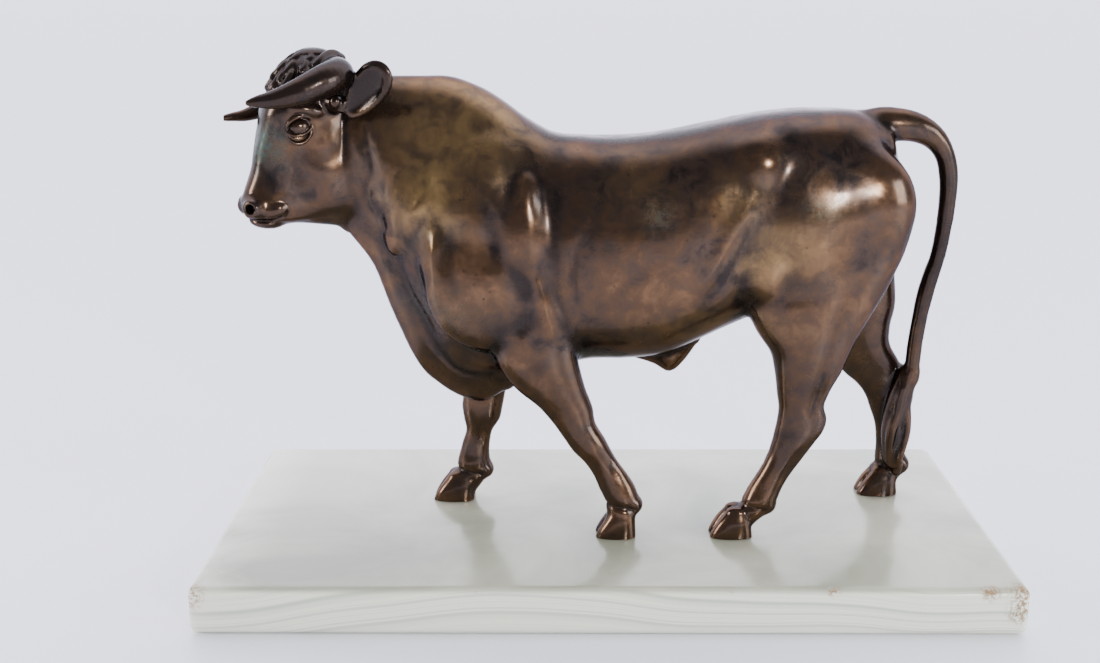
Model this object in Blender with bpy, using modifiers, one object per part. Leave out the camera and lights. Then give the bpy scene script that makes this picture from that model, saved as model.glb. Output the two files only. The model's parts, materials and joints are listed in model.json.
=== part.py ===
"""A cast bronze bull striding on a thin slab of pale green onyx.

Metres, +Z up. The origin is the middle of the slab's underside. The bull faces -X and turns its
head a little towards -Y, the side that it is seen from.
"""

import math

import bmesh
import bpy
import numpy as np
from mathutils import Matrix

# Driving dimensions, in metres
PLINTH_LENGTH = 0.3075
PLINTH_DEPTH = 0.158
PLINTH_THICKNESS = 0.0185
PLINTH_ARRIS = 0.0016
BULL_HEIGHT = 0.190
STANDING_GAP = 0.0003

# The bull's own form is written in parts, 190 of them from its soles to the hair on its poll
PARTS_TALL = 190.0
PART = BULL_HEIGHT / PARTS_TALL

# How finely the casting is worked
WORKING_GRAIN = 1.5
CASTING_TRIANGLES = 9400
SETTLING_ROUNDS = 5

# The body's middle plane, and the head's seat and turn, in parts and degrees
MIDLINE = -4.0
HEAD_SEAT = (-105.0, -6.0, 0.0)
HEAD_TURN = 23.0

# The head's finer work starts above this height and reaches this far behind the head's seat
HEAD_FROM = 119.0
NAPE_BEHIND = 20.0

# The face, forward of this place in the head's frame, keeps more of its triangles
FACE_FROM = 3.0
FACE_WEIGHT = 0.55
FACE_CARE = 0.008

FAR_OUTSIDE = 60.0
NEARBY = 3.0


def hermite(rows, at):
    """Read a table of rows at the places given, along a smooth curve through every row."""
    rows = np.asarray(rows, float)
    place = rows[:, 0]
    at = np.clip(at, place[0], place[-1])
    slopes = np.gradient(rows, place, axis=0)
    start = np.clip(np.searchsorted(place, at, side="right") - 1, 0, len(place) - 2)
    span = place[start + 1] - place[start]
    s = ((at - place[start]) / span)[:, None]
    span = span[:, None]
    from_start = (1 + 2 * s) * (1 - s) ** 2 * rows[start] + s * (1 - s) ** 2 * span * slopes[start]
    from_end = s * s * (3 - 2 * s) * rows[start + 1] - s * s * (1 - s) * span * slopes[start + 1]
    return from_start + from_end


def radial_gap(offset, ratio):
    """Distance out of a form along the ray from its middle, from the ratio of offset to surface."""
    return offset - offset / np.maximum(ratio, 1e-6)


class Frame:
    """A seat and three directions in which a form is drawn."""

    def __init__(self, seat=(0, 0, 0), axes=((1, 0, 0), (0, 1, 0), (0, 0, 1))):
        self.seat = np.array(seat, float)
        self.axes = np.array(axes, float)

    def inward(self, points):
        return (points - self.seat) @ self.axes.T

    def outward(self, points):
        return points @ self.axes + self.seat


BODY = Frame()


def head_frame():
    """Forward along the face's aim, sideways to the bull's left, and up."""
    turn = math.radians(HEAD_TURN)
    forward = (-math.cos(turn), -math.sin(turn), 0)
    left = (math.sin(turn), -math.cos(turn), 0)
    return Frame(HEAD_SEAT, (forward, left, (0, 0, 1)))


HEAD = head_frame()


class Sweep:
    """A trunk, limb or skull swept along one axis.

    Each row gives a station: its place on the axis, the section's low and high edges across it,
    where between them the section is widest, its middle plane, its half width, and the fullness
    of its low and high ends, where 2 is an ellipse.
    """

    def __init__(self, axis, rows, ends, blend, frame=BODY):
        self.rows = [tuple(row) + (2.1, 2.1)[len(row) - 6:] for row in rows]
        self.along, self.across, self.side = {"X": (0, 2, 1), "Z": (2, 0, 1)}[axis]
        self.ends = ends
        self.blend = blend
        self.frame = frame

    def corners(self):
        rows = np.array(self.rows)
        low = np.zeros(3)
        high = np.zeros(3)
        low[self.along] = rows[0, 0] - self.ends[0]
        high[self.along] = rows[-1, 0] + self.ends[1]
        low[self.across] = rows[:, 1].min()
        high[self.across] = rows[:, 2].max()
        low[self.side] = (rows[:, 4] - rows[:, 5]).min()
        high[self.side] = (rows[:, 4] + rows[:, 5]).max()
        return low, high

    def field(self, points):
        place = points[:, self.along]
        _, low, high, share, middle, half, low_full, high_full = hermite(self.rows, place).T
        widest = low + share * (high - low)
        rise = points[:, self.across] - widest
        over = rise > 0
        reach = np.where(over, high - widest, widest - low)
        full = np.where(over, high_full, low_full)
        aside = points[:, self.side] - middle
        ratio = ((np.abs(rise) / reach) ** full + (np.abs(aside) / half) ** full) ** (1 / full)
        before = np.maximum(self.rows[0][0] - place, 0)
        beyond = np.maximum(place - self.rows[-1][0], 0)
        ratio = np.sqrt(ratio ** 2 + (before / self.ends[0]) ** 2 + (beyond / self.ends[1]) ** 2)
        return radial_gap(np.sqrt(rise ** 2 + aside ** 2 + before ** 2 + beyond ** 2), ratio)

    def build(self, mesh, around=20):
        """Add the form to a mesh as rings of points joined by faces."""
        first, last = self.rows[0][0], self.rows[-1][0]
        swing = np.linspace(0, math.pi / 2, 5)
        inside = np.linspace(first, last, max(4, int((last - first) / 3)))
        places = np.concatenate([first - self.ends[0] * np.cos(swing[:-1]), inside,
                                 last + self.ends[1] * np.sin(swing[1:])])
        shrink = np.concatenate([np.sin(swing[:-1]), np.ones(len(inside)), np.cos(swing[1:])])
        rings = []
        for place, size in zip(places, np.maximum(shrink, 0.02)):
            _, low, high, share, middle, half, low_full, high_full = hermite(self.rows, np.array([place]))[0]
            widest = low + share * (high - low)
            ring = []
            for angle in np.arange(around) * 2 * math.pi / around:
                up, out = math.sin(angle), math.cos(angle)
                full = high_full if up > 0 else low_full
                reach = high - widest if up > 0 else widest - low
                point = np.zeros(3)
                point[self.along] = place
                point[self.across] = widest + size * math.copysign(abs(up) ** (2 / full), up) * reach
                point[self.side] = middle + size * math.copysign(abs(out) ** (2 / full), out) * half
                ring.append(mesh.verts.new(self.frame.outward(point)))
            rings.append(ring)
        for ring, following in zip(rings, rings[1:]):
            for i in range(around):
                j = (i + 1) % around
                mesh.faces.new((ring[i], ring[j], following[j], following[i]))
        mesh.faces.new(rings[0])
        mesh.faces.new(rings[-1])


class Ball:
    """A muscle or bone drawn as an ellipsoid: middle, half lengths, and the turns about X, Y and Z."""

    def __init__(self, middle, radii, blend, turn=(0, 0, 0), frame=BODY):
        self.middle = np.array(middle, float)
        self.radii = np.array(radii, float)
        self.blend = blend
        self.frame = frame
        x, y, z = (math.radians(angle) for angle in turn)
        about_x = np.array([[1, 0, 0], [0, math.cos(x), -math.sin(x)], [0, math.sin(x), math.cos(x)]])
        about_y = np.array([[math.cos(y), 0, math.sin(y)], [0, 1, 0], [-math.sin(y), 0, math.cos(y)]])
        about_z = np.array([[math.cos(z), -math.sin(z), 0], [math.sin(z), math.cos(z), 0], [0, 0, 1]])
        self.turned = about_z @ about_y @ about_x

    def corners(self):
        reach = np.sqrt((self.turned ** 2) @ (self.radii ** 2))
        return self.middle - reach, self.middle + reach

    def field(self, points):
        offset = (points - self.middle) @ self.turned
        ratio = np.sqrt(((offset / self.radii) ** 2).sum(1))
        return radial_gap(np.sqrt((offset ** 2).sum(1)), ratio)

    def build(self, mesh):
        made = bmesh.ops.create_icosphere(mesh, subdivisions=2, radius=1.0)["verts"]
        for vertex in made:
            local = self.turned @ (np.array(vertex.co) * self.radii) + self.middle
            vertex.co = self.frame.outward(local)


class Strand:
    """A horn, tail or lock of hair: a smooth path of rows of x, y, z and radius."""

    def __init__(self, rows, blend, frame=BODY, steps=5):
        rows = np.asarray(rows, float)
        numbered = np.column_stack([np.arange(len(rows)), rows])
        self.path = hermite(numbered, np.linspace(0, len(rows) - 1, (len(rows) - 1) * steps + 1))[:, 1:]
        self.blend = blend
        self.frame = frame

    def corners(self):
        reach = self.path[:, 3:4]
        return (self.path[:, :3] - reach).min(0), (self.path[:, :3] + reach).max(0)

    def field(self, points):
        nearest = np.full(len(points), FAR_OUTSIDE)
        for start, end in zip(self.path, self.path[1:]):
            run = end[:3] - start[:3]
            share = np.clip((points - start[:3]) @ run / (run @ run), 0, 1)
            gap = np.linalg.norm(points - start[:3] - share[:, None] * run, axis=1)
            nearest = np.minimum(nearest, gap - start[3] - share * (end[3] - start[3]))
        return nearest

    def build(self, mesh):
        curve = bpy.data.curves.new("strand", "CURVE")
        curve.dimensions = "3D"
        curve.bevel_depth = 1.0
        curve.bevel_resolution = 2
        curve.use_fill_caps = True
        spline = curve.splines.new("POLY")
        spline.points.add(len(self.path) - 1)
        for point, row in zip(spline.points, self.path):
            point.co = (*self.frame.outward(row[:3]), 1)
            point.radius = row[3]
        holder = bpy.data.objects.new("strand", curve)
        tube = bpy.data.meshes.new_from_object(holder)
        mesh.from_mesh(tube)
        bpy.data.objects.remove(holder)
        bpy.data.curves.remove(curve)
        bpy.data.meshes.remove(tube)


class Stroke:
    """A line worked into the surface: its points, width and height, below the surface if negative.

    The line is drawn on the body's side view, or on the head's, and works the side that it names.
    Its height fades at both ends.
    """

    def __init__(self, line, width, height, side=0, frame=BODY, fade=0.25):
        numbered = np.column_stack([np.arange(len(line)), np.asarray(line, float)])
        steps = np.linspace(0, len(line) - 1, (len(line) - 1) * 4 + 1)
        self.path = hermite(numbered, steps)[:, 1:]
        self.width = width
        self.height = height
        self.side = side
        self.frame = frame
        self.fade = fade

    def field(self, points, middle):
        flat = points[:, (0, 2)]
        aside = points[:, 1] - middle
        nearest = np.full(len(points), FAR_OUTSIDE)
        strength = np.ones(len(points))
        lengths = np.linalg.norm(np.diff(self.path, axis=0), axis=1)
        total = lengths.sum()
        run = 0.0
        for start, end, length in zip(self.path, self.path[1:], lengths):
            share = np.clip((flat - start) @ (end - start) / length ** 2, 0, 1)
            gap = np.linalg.norm(flat - start - share[:, None] * (end - start), axis=1)
            place = (run + share * length) / total
            closer = gap < nearest
            nearest = np.where(closer, gap, nearest)
            faded = np.clip(np.minimum(place, 1 - place) / self.fade, 0, 1)
            strength = np.where(closer, faded, strength)
            run += length
        rounded = np.exp(-(nearest / self.width) ** 2) * strength * (2 - strength)
        if self.side:
            rounded = rounded * np.clip(aside * self.side / 4, 0, 1)
        else:
            rounded = rounded * np.clip(np.abs(aside) / 4, 0, 1)
        return -self.height * rounded


def trunk():
    """Neck, chest, barrel and croup, and the thin dewlap hanging in front."""
    yield Sweep("X", [
        (-100, 130, 175, 0.45, -6.5, 10), (-90, 122, 178.4, 0.45, -6, 14.5),
        (-80, 102, 178.6, 0.46, -5.2, 19.5, 1.9, 2.0), (-70, 82, 178.6, 0.46, -4.6, 24.5, 1.8, 2.0),
        (-60, 66, 178.3, 0.45, MIDLINE, 29, 1.8, 2.0), (-50, 61, 175.3, 0.45, MIDLINE, 32, 1.9, 2.0),
        (-40, 60, 169.8, 0.45, MIDLINE, 33.5, 2.0, 2.1), (-30, 61, 162.3, 0.44, MIDLINE, 34, 2.1, 2.2),
        (-20, 63.8, 156.9, 0.43, MIDLINE, 34, 2.2, 2.4), (-8, 67.4, 155.5, 0.43, MIDLINE, 34.5, 2.2, 2.6),
        (8, 67.9, 155.4, 0.44, MIDLINE, 35.5, 2.2, 2.6), (24, 69.8, 157.2, 0.45, MIDLINE, 35.5, 2.2, 2.6),
        (38, 76, 159.8, 0.46, MIDLINE, 34.5, 2.2, 2.7), (52, 82.4, 162.7, 0.5, MIDLINE, 32.5, 2.2, 2.8),
        (66, 88, 164.9, 0.55, MIDLINE, 30.5, 2.2, 2.8), (82, 91, 165.6, 0.58, MIDLINE, 28, 2.2, 2.7),
        (98, 94, 164.4, 0.6, MIDLINE, 23.5, 2.2, 2.3), (108, 102, 160, 0.56, MIDLINE, 17, 2.2, 2.0),
    ], (6, 5), 6)
    yield Sweep("X", [
        (-100, 118, 150, 0.6, -6.5, 7, 1.7, 2), (-91, 105, 142, 0.7, -6, 8.5, 1.7, 2),
        (-82, 80.8, 128, 0.75, -5.4, 9.5, 1.7, 2), (-74, 63.8, 112, 0.75, -4.8, 10.5, 1.7, 2),
        (-66, 55.6, 98, 0.7, MIDLINE, 11.5, 1.7, 2), (-58, 50.6, 88, 0.65, MIDLINE, 12, 1.8, 2),
        (-48, 48.6, 82, 0.55, MIDLINE, 11.5, 1.9, 2), (-40, 53, 78, 0.5, MIDLINE, 10),
    ], (6, 8), 6)
    yield Sweep("X", [
        (14, 66, 80, 0.6, MIDLINE, 3.5), (20, 64, 80, 0.6, MIDLINE, 5), (27, 60.8, 80, 0.5, MIDLINE, 5.6),
        (32, 65, 80, 0.5, MIDLINE, 4.4), (37, 72, 82, 0.5, MIDLINE, 3.2),
    ], (3, 2), 3)


def shoulder(side):
    """Scapula, upper arm and the bosses behind the shoulder, on one side of the body."""
    def at(x, out, z):
        return (x, MIDLINE + side * out, z)

    yield Ball(at(-49, 22, 130), (15, 9, 24), 9, (0, 12, 0))
    yield Ball(at(-50, 26, 99), (18, 9, 22), 7, (0, -18, 0))
    yield Ball(at(-31, 27.4, 122), (6.5, 6.6, 20), 6, (0, 4, 0))
    yield Ball(at(-23, 27, 93), (6, 6.5, 16), 4, (0, -14, 0))
    yield Ball(at(-62, 22, 116), (7, 7, 13), 5, (0, 8, 0))
    yield Ball(at(-74, 15, 131), (7, 7, 20), 6, (0, 22, 0))


def hip(side):
    """Point of hip, rump and flank on one side."""
    def at(x, out, z):
        return (x, MIDLINE + side * out, z)

    yield Ball(at(57, 22.4, 148), (9, 7.4, 8), 7, (0, 20, 0))
    yield Ball(at(97.6, 18, 130), (19.6, 12, 22.4), 7, (0, -1, 0))
    yield Ball(at(61, 23, 107), (7.5, 9, 13), 6, (0, -8, 0))
    yield Ball(at(78, 19, 122), (20, 14, 26), 9)


NEAR_FORE = [
    (0, 0, 10.6, 0.5, -26, 4.6), (6, 1.4, 12, 0.5, -26, 5), (11, 0.8, 12.8, 0.5, -26, 5.6),
    (15, 0, 13.4, 0.5, -26, 5.8), (20, -2.4, 12, 0.5, -26, 5.2), (25, -4.6, 8.8, 0.5, -26, 4.8),
    (30, -7.8, 5.2, 0.5, -26, 5), (35, -12.6, 2.4, 0.5, -26, 6), (40, -16, 0, 0.5, -26, 6.3),
    (46, -20, -3.6, 0.5, -26, 6.2), (52, -25, -4.6, 0.5, -26, 7), (60, -34, -7.4, 0.5, -26.5, 8.4),
    (70, -41, -10, 0.5, -27.5, 9.5), (82, -43, -12.4, 0.5, -28, 9.5),
]
FAR_FORE = [
    (0, -66, -56, 0.5, 15, 4.6), (6, -64, -51, 0.5, 15, 5), (11, -61.6, -48, 0.5, 15, 5.6),
    (16, -61, -47.4, 0.5, 15, 5.8), (20, -60, -47.6, 0.5, 15, 5), (25, -58.6, -47.2, 0.5, 15, 4.7),
    (30, -57.2, -46, 0.5, 15, 4.9), (35, -58, -43, 0.5, 15, 6), (40, -58.6, -41.8, 0.5, 15, 6.3),
    (46, -58.4, -40.6, 0.5, 15, 6.2), (52, -60, -39, 0.5, 15.4, 7), (60, -63, -37, 0.5, 16, 8.2),
    (70, -66, -35, 0.5, 17, 9.2), (82, -66, -32, 0.5, 18, 9.5),
]
NEAR_HIND = [
    (0, 47, 56.6, 0.5, -26, 4.6), (5, 49, 60, 0.5, -26, 5), (10, 52, 65.4, 0.5, -26, 5.5),
    (15, 54.6, 68.2, 0.5, -26, 5.8), (20, 57, 70.2, 0.5, -26, 5), (26, 60.6, 73.6, 0.5, -26, 4.6),
    (32, 63.6, 78, 0.5, -25.6, 4.9), (38, 65.6, 82.2, 0.5, -25.2, 5.8), (43, 66.6, 85.6, 0.5, -25, 6),
    (47.5, 67.4, 86.6, 0.45, -25, 5.6), (52, 67.8, 85.4, 0.42, -25, 5.8), (58, 66.9, 87.2, 0.42, -24.6, 7),
    (66, 65.8, 91.4, 0.42, -24, 9), (74, 64, 94.8, 0.44, -23, 11), (82, 58.6, 98.6, 0.45, -22, 12.5),
    (92, 54, 104.6, 0.46, -20.6, 14), (104, 53.4, 111, 0.48, -19, 15),
    (118, 56, 116.4, 0.5, -17, 15), (132, 62, 116.6, 0.52, -15, 13.5),
]
FAR_HIND = [
    (0, 114, 124, 0.5, 21.6, 4.6), (5, 115, 126, 0.5, 21.6, 5), (10, 115.4, 129, 0.5, 21.6, 5.5),
    (15, 116.6, 129.4, 0.5, 21.6, 5.8), (20, 116.8, 128.8, 0.5, 21.6, 5), (26, 116.4, 129, 0.5, 21.4, 4.6),
    (32, 115.2, 129.4, 0.5, 21, 4.9), (38, 113, 130.2, 0.5, 20.6, 5.8), (43, 111, 130.8, 0.5, 20, 6),
    (48, 107.6, 130.6, 0.48, 19.6, 5.8), (54, 101, 128.6, 0.46, 19, 6.2), (60, 96, 123.4, 0.45, 18, 7.4),
    (66, 92, 119.4, 0.45, 17, 9), (74, 86, 118.4, 0.46, 15.6, 10.8), (84, 80, 119.6, 0.47, 14, 12.4),
    (96, 74, 118.4, 0.48, 12.4, 13.6), (110, 70, 117, 0.5, 11, 14), (130, 70, 116.4, 0.52, 9.6, 13),
]


def hoof(toe, heel, y, dewclaw):
    """Two claws side by side with a cleft between them, and the two small dewclaws behind."""
    for side in (-1, 1):
        middle = y + side * 3.5
        yield Sweep("Z", [
            (-2, toe, heel, 0.55, middle, 3.9, 2.3, 2.3), (0, toe, heel, 0.55, middle, 3.9, 2.3, 2.3),
            (3, toe + 1.0, heel, 0.55, middle, 3.8, 2.3, 2.3),
            (6.5, toe + 3.8, heel - 0.4, 0.55, middle, 3.5, 2.2, 2.2),
            (9.5, toe + 7.4, heel - 1.4, 0.5, middle - side * 0.4, 3.0),
        ], (2, 1.5), 0.5)
        yield Ball((dewclaw, y + side * 3.0, 9.8), (2.2, 2.1, 2.9), 0.8, (0, 20, 0))


# Each hoof's toe, heel and middle, and the place of its dewclaws
HOOVES = (
    (-3.2, 12.2, -26, 12), (-71, -53.8, 15, -49.4), (41.6, 58.6, -26, 64.4), (108.6, 126, 21.6, 127.6),
)


def tail():
    """The tail's arch, its hanging cord, and the wavy tuft laid against the far hind leg."""
    yield Strand([
        (94, -3.6, 155, 6), (104, -3.4, 158.8, 6.8), (113, -3, 159.2, 6.4), (121, -2.4, 157.6, 5.6),
        (127.8, -1.6, 153.6, 4.6), (132.4, -0.8, 147, 3.8), (134.6, 0, 138, 3.6), (134.9, 1, 128, 3.3),
        (134.4, 2, 118, 3.1), (133.3, 3.4, 107, 3.0), (130.8, 5, 96, 3.3), (129, 6.6, 85, 3.2),
        (128, 8.2, 74, 3.0), (127.4, 9.8, 64, 3.2), (126.6, 11, 54, 3.8),
    ], 3)
    yield Strand([
        (126.2, 11, 56, 4), (123.8, 12, 46, 4.8), (122, 13, 36, 4.8), (121.8, 13.6, 26, 4.6),
        (122.6, 13.6, 17, 4), (124.4, 13.4, 12, 2.2),
    ], 2)
    for start, sway, depth in ((0.0, 1.0, -2.7), (2.2, 1.2, -0.2), (4.2, 0.9, 2.2)):
        locks = []
        for step in range(7):
            drop = step / 6
            spread = depth * min(1, 2.4 * drop)
            locks.append((124.2 - 2.2 * drop + spread + sway * math.sin(start + 7 * drop),
                          9.4 + 1.4 * math.cos(start + 6 * drop), 52 - 39.5 * drop,
                          2.4 - 1.3 * drop ** 3))
        yield Strand(locks, 0.6)


def skull():
    """Skull, jaw, muzzle and the bosses round the eye, drawn in the head's frame."""
    yield Sweep("Z", [
        (126.6, 4, 34.4, 0.62, 0, 8.6, 2.3, 2.3), (131, -2, 36.4, 0.64, 0, 9.6, 2.2, 2.4),
        (137, -6, 34.8, 0.52, 0, 10, 2.1, 2.4), (144, -8, 32.2, 0.44, 0, 10.6, 2.1, 2.5),
        (152, -9, 30.6, 0.46, 0, 11.4, 2.1, 2.5), (160, -9, 28.8, 0.5, 0, 13, 2.1, 2.6),
        (168, -8, 26.8, 0.54, 0, 13.6, 2.1, 2.8), (176, -6, 22.4, 0.54, 0, 12.6, 2.1, 2.5),
        (183, -3, 17, 0.5, 0, 10.4), (187, 0, 12.6, 0.5, 0, 7.4),
    ], (2.6, 2.6), 3, HEAD)
    for side in (-1, 1):
        yield Ball((2.5, side * 7.4, 142), (12.5, 6.6, 15.5), 5, (0, 14, 0), HEAD)
        yield Ball((12.6, side * 11.6, 167.4), (7, 3.2, 2.8), 2.4, (0, -12, 0), HEAD)
        yield Ball((6.6, side * 11.6, 157), (5, 3, 5), 2.5, (0, 0, 0), HEAD)
        yield Ball((32.2, side * 5.4, 130.2), (4.8, 4.4, 4.4), 2, (0, 0, 0), HEAD)
        yield Ball((25.4, side * 7.6, 129.4), (4.6, 2.6, 3), 1.6, (0, 10, 0), HEAD)
    yield Ball((27.4, 0, 124.4), (6.4, 7, 2.9), 1.6, (0, -6, 0), HEAD)
    yield Sweep("X", [
        (-16, 122, 165, 0.5, 0, 12), (-6, 119.8, 165, 0.5, 0, 11.5), (4, 121.4, 150, 0.5, 0, 10.5),
        (14, 122.8, 140, 0.5, 0, 9), (24, 123.6, 136, 0.5, 0, 8),
    ], (5, 4), 3, HEAD)


def horns():
    """The near horn and the far one, which sits a little lower."""
    yield Strand([
        (6, 6, 179.8, 6.2), (2.6, 15, 180.5, 6.3), (3.2, 23, 180.5, 6.3), (8.6, 28, 179.2, 6.1),
        (17, 29.4, 176, 5.2), (26, 28.4, 173.3, 3.7), (33, 27, 172.4, 2.3), (36.6, 26.4, 172, 1.2),
    ], 1.2, HEAD)
    yield Strand([
        (6, -6, 179.5, 6.2), (2.6, -15, 178.6, 6.4), (3.2, -23, 176, 6.2), (9, -28.4, 171.6, 5.4),
        (17, -30, 166, 3.9), (26, -29, 162.6, 2.7), (33, -28, 161.8, 1.8), (37, -27.6, 161.5, 1.1),
    ], 1.2, HEAD)


def ears():
    """A root and a leaf on each side. The leaves are hollowed afterwards."""
    for side in (-1, 1):
        yield Strand([
            (3, side * 13, 170.4, 3.2), (0.6, side * 17, 171.2, 3.0), (-3, side * 19.4, 173.6, 2.8),
        ], 0.8, HEAD)
        yield ear_leaf(side, 0.0, (11.6, 2.6, 7.4), 1.0)


def ear_leaf(side, forward, radii, blend):
    """One leaf-shaped ellipsoid along the ear, moved along its own facing direction."""
    sweep = -27 * side
    facing = np.array([0.45, 0.89 * side, 0.0])
    middle = np.array([-8.2, side * 22, 174.6 + 0.8 * side]) + forward * facing
    return Ball(middle, radii, blend, (0, -33, 180 + sweep), HEAD)


def poll_hair():
    """The curly tuft on the poll and the strip of curls down the forehead."""
    yield Ball((7, 0, 183.2), (9.4, 11, 5.6), 2.5, (0, -5, 0), HEAD)
    rows = ((0, 0.0, 3), (4.6, 0.5, 4), (9.2, 0.0, 4), (13, 0.5, 4), (16.4, 0.0, 3))
    for forward, shift, count in rows:
        for place in range(count):
            aside = (place + shift - (count - 1) / 2 - 0.25) * 5.2
            height = 187 - 0.045 * (forward - 8) ** 2 - 0.035 * aside ** 2
            yield Ball((forward, aside, height), (3.0, 2.9, 2.3), 0.9, (0, forward, 12 * aside), HEAD)
    for drop in range(5):
        for side in (-1, 1):
            yield Ball((23 + 1.2 * drop, side * (5.4 - 0.7 * drop), 172.5 - 5.6 * drop),
                       (2.6, 3.1, 3.4), 1.0, (0, 10, 24 * side), HEAD)


def hollows():
    """The forms cut away: the ears' cups, the nostrils and the eye sockets."""
    for side in (-1, 1):
        yield ear_leaf(side, 2.3, (10, 2.3, 5.6), 0.8)
        yield Ball((35.4, side * 7.4, 130.6), (2.4, 2.6, 1.9), 0.6, (0, 0, 20 * side), HEAD)
        yield Ball((15.6, side * 14.8, 160.6), (6.6, 4.2, 5.4), 1.2, (0, 14, -6 * side), HEAD)


def eyes():
    """The eyeballs, the rims of the lids and the bag under each, set into the sockets."""
    for side in (-1, 1):
        yield Ball((15.6, side * 11, 160.9), (4.2, 3.1, 3.4), 0.2, (0, 10, -8 * side), HEAD)
        for height, droop, thick in ((3.9, 0.0, 1.1), (-3.6, 0.0, 0.9), (-7.0, -0.8, 1.0)):
            rim = []
            for step in range(7):
                swing = math.pi * step / 6
                rim.append((15.6 + 5.4 * math.cos(swing), side * (12.1 + 1.7 * math.sin(swing)),
                            160.6 - 0.7 * math.cos(swing) + height * math.sin(swing) + droop, thick))
            yield Strand(rim, 0.5, HEAD)


def strokes():
    """Folds, veins and creases, drawn on the side view."""
    near = -1
    # Dewlap edge, throat fold and the folds of the neck
    yield Stroke([(-91.5, 158), (-90, 147), (-91, 134), (-84, 123), (-79, 110), (-77, 98), (-71, 86),
                  (-65, 73), (-58, 65), (-49, 63), (-40, 65)], 1.7, -1.3)
    yield Stroke([(-67, 140), (-71, 130), (-76, 119)], 3.0, 1.3)
    yield Stroke([(-62.5, 124), (-65, 113), (-64, 101)], 1.8, 0.9)
    yield Stroke([(-57, 128), (-58, 114), (-57, 100), (-60, 90)], 3.0, -0.9)
    # Shoulder: the groove before its rear edge, the hollow over the elbow and its rim
    yield Stroke([(-47, 139), (-43, 126), (-43, 113)], 3.2, -1.2)
    yield Stroke([(-37, 112), (-33, 104), (-31, 97)], 4.2, -1.7)
    yield Stroke([(-30, 113), (-26.4, 105), (-24, 97), (-21.4, 88), (-19.6, 81)], 2.0, 1.1)
    yield Stroke([(-24.6, 141), (-20, 128), (-18.6, 114), (-17.6, 100), (-13, 86)], 2.6, -1.3)
    yield Stroke([(-32, 90), (-31, 84), (-26, 79), (-20.6, 83)], 1.8, -1.1)
    # Ribs and belly
    yield Stroke([(-8.7, 124), (-12, 110), (-11.4, 101), (-8.7, 91)], 2.4, -0.7)
    yield Stroke([(20, 112), (9, 104), (-1, 91)], 3.2, -0.6)
    # Flank folds, point of hip and stifle
    yield Stroke([(66, 156), (66.6, 144), (66, 130), (66, 118)], 3.4, -1.5)
    yield Stroke([(56, 140), (50, 128), (43, 114), (36, 100)], 3.4, 0.9)
    yield Stroke([(53.7, 123), (48, 112), (41, 100.5), (37, 92)], 2.6, -1.7)
    yield Stroke([(54, 110), (51.4, 99), (54, 91)], 2.0, -1.3)
    # Thigh, gaskin and hock
    yield Stroke([(62, 95), (74, 97), (84, 98.5)], 1.6, -0.6)
    yield Stroke([(84.6, 72), (82.6, 62), (80.6, 54), (79.4, 47)], 1.5, -0.9, near)
    yield Stroke([(122, 70), (124, 60), (124.4, 50)], 1.5, -0.9, 1)
    # Tendons of the cannons
    yield Stroke([(-3, 37), (2, 30), (6.4, 22)], 1.3, -0.7, near)
    yield Stroke([(78.6, 38), (73, 30), (67, 21)], 1.3, -0.7, near)
    yield Stroke([(-47.4, 36), (-50.6, 28), (-51.6, 20)], 1.3, -0.7, 1)
    yield Stroke([(126, 37), (125, 28), (124.6, 20)], 1.3, -0.7, 1)


def face_strokes():
    """The mouth, the edge of the jaw and the hollow of the cheek, drawn on the head's side view."""
    yield Stroke([(35, 125.8), (31, 125.4), (26.4, 126), (22.6, 129)], 0.8, -1.1, 0, HEAD, 0.1)
    yield Stroke([(-2.4, 161), (-4.6, 152), (-6, 142), (-4, 132)], 2.2, 0.9, 0, HEAD)
    yield Stroke([(22, 151), (14, 141), (4, 136)], 3.0, -0.7, 0, HEAD)


def all_masses():
    """Every form of the casting in the order in which they are joined."""
    yield from trunk()
    for side in (-1, 1):
        yield from shoulder(side)
        yield from hip(side)
    for rows in (NEAR_FORE, FAR_FORE, NEAR_HIND, FAR_HIND):
        yield Sweep("Z", rows, (2, 10), 3.2)
    for footing in HOOVES:
        yield from hoof(*footing)
    yield from skull()
    yield from tail()
    yield from ears()
    yield from horns()
    yield from poll_hair()


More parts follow.
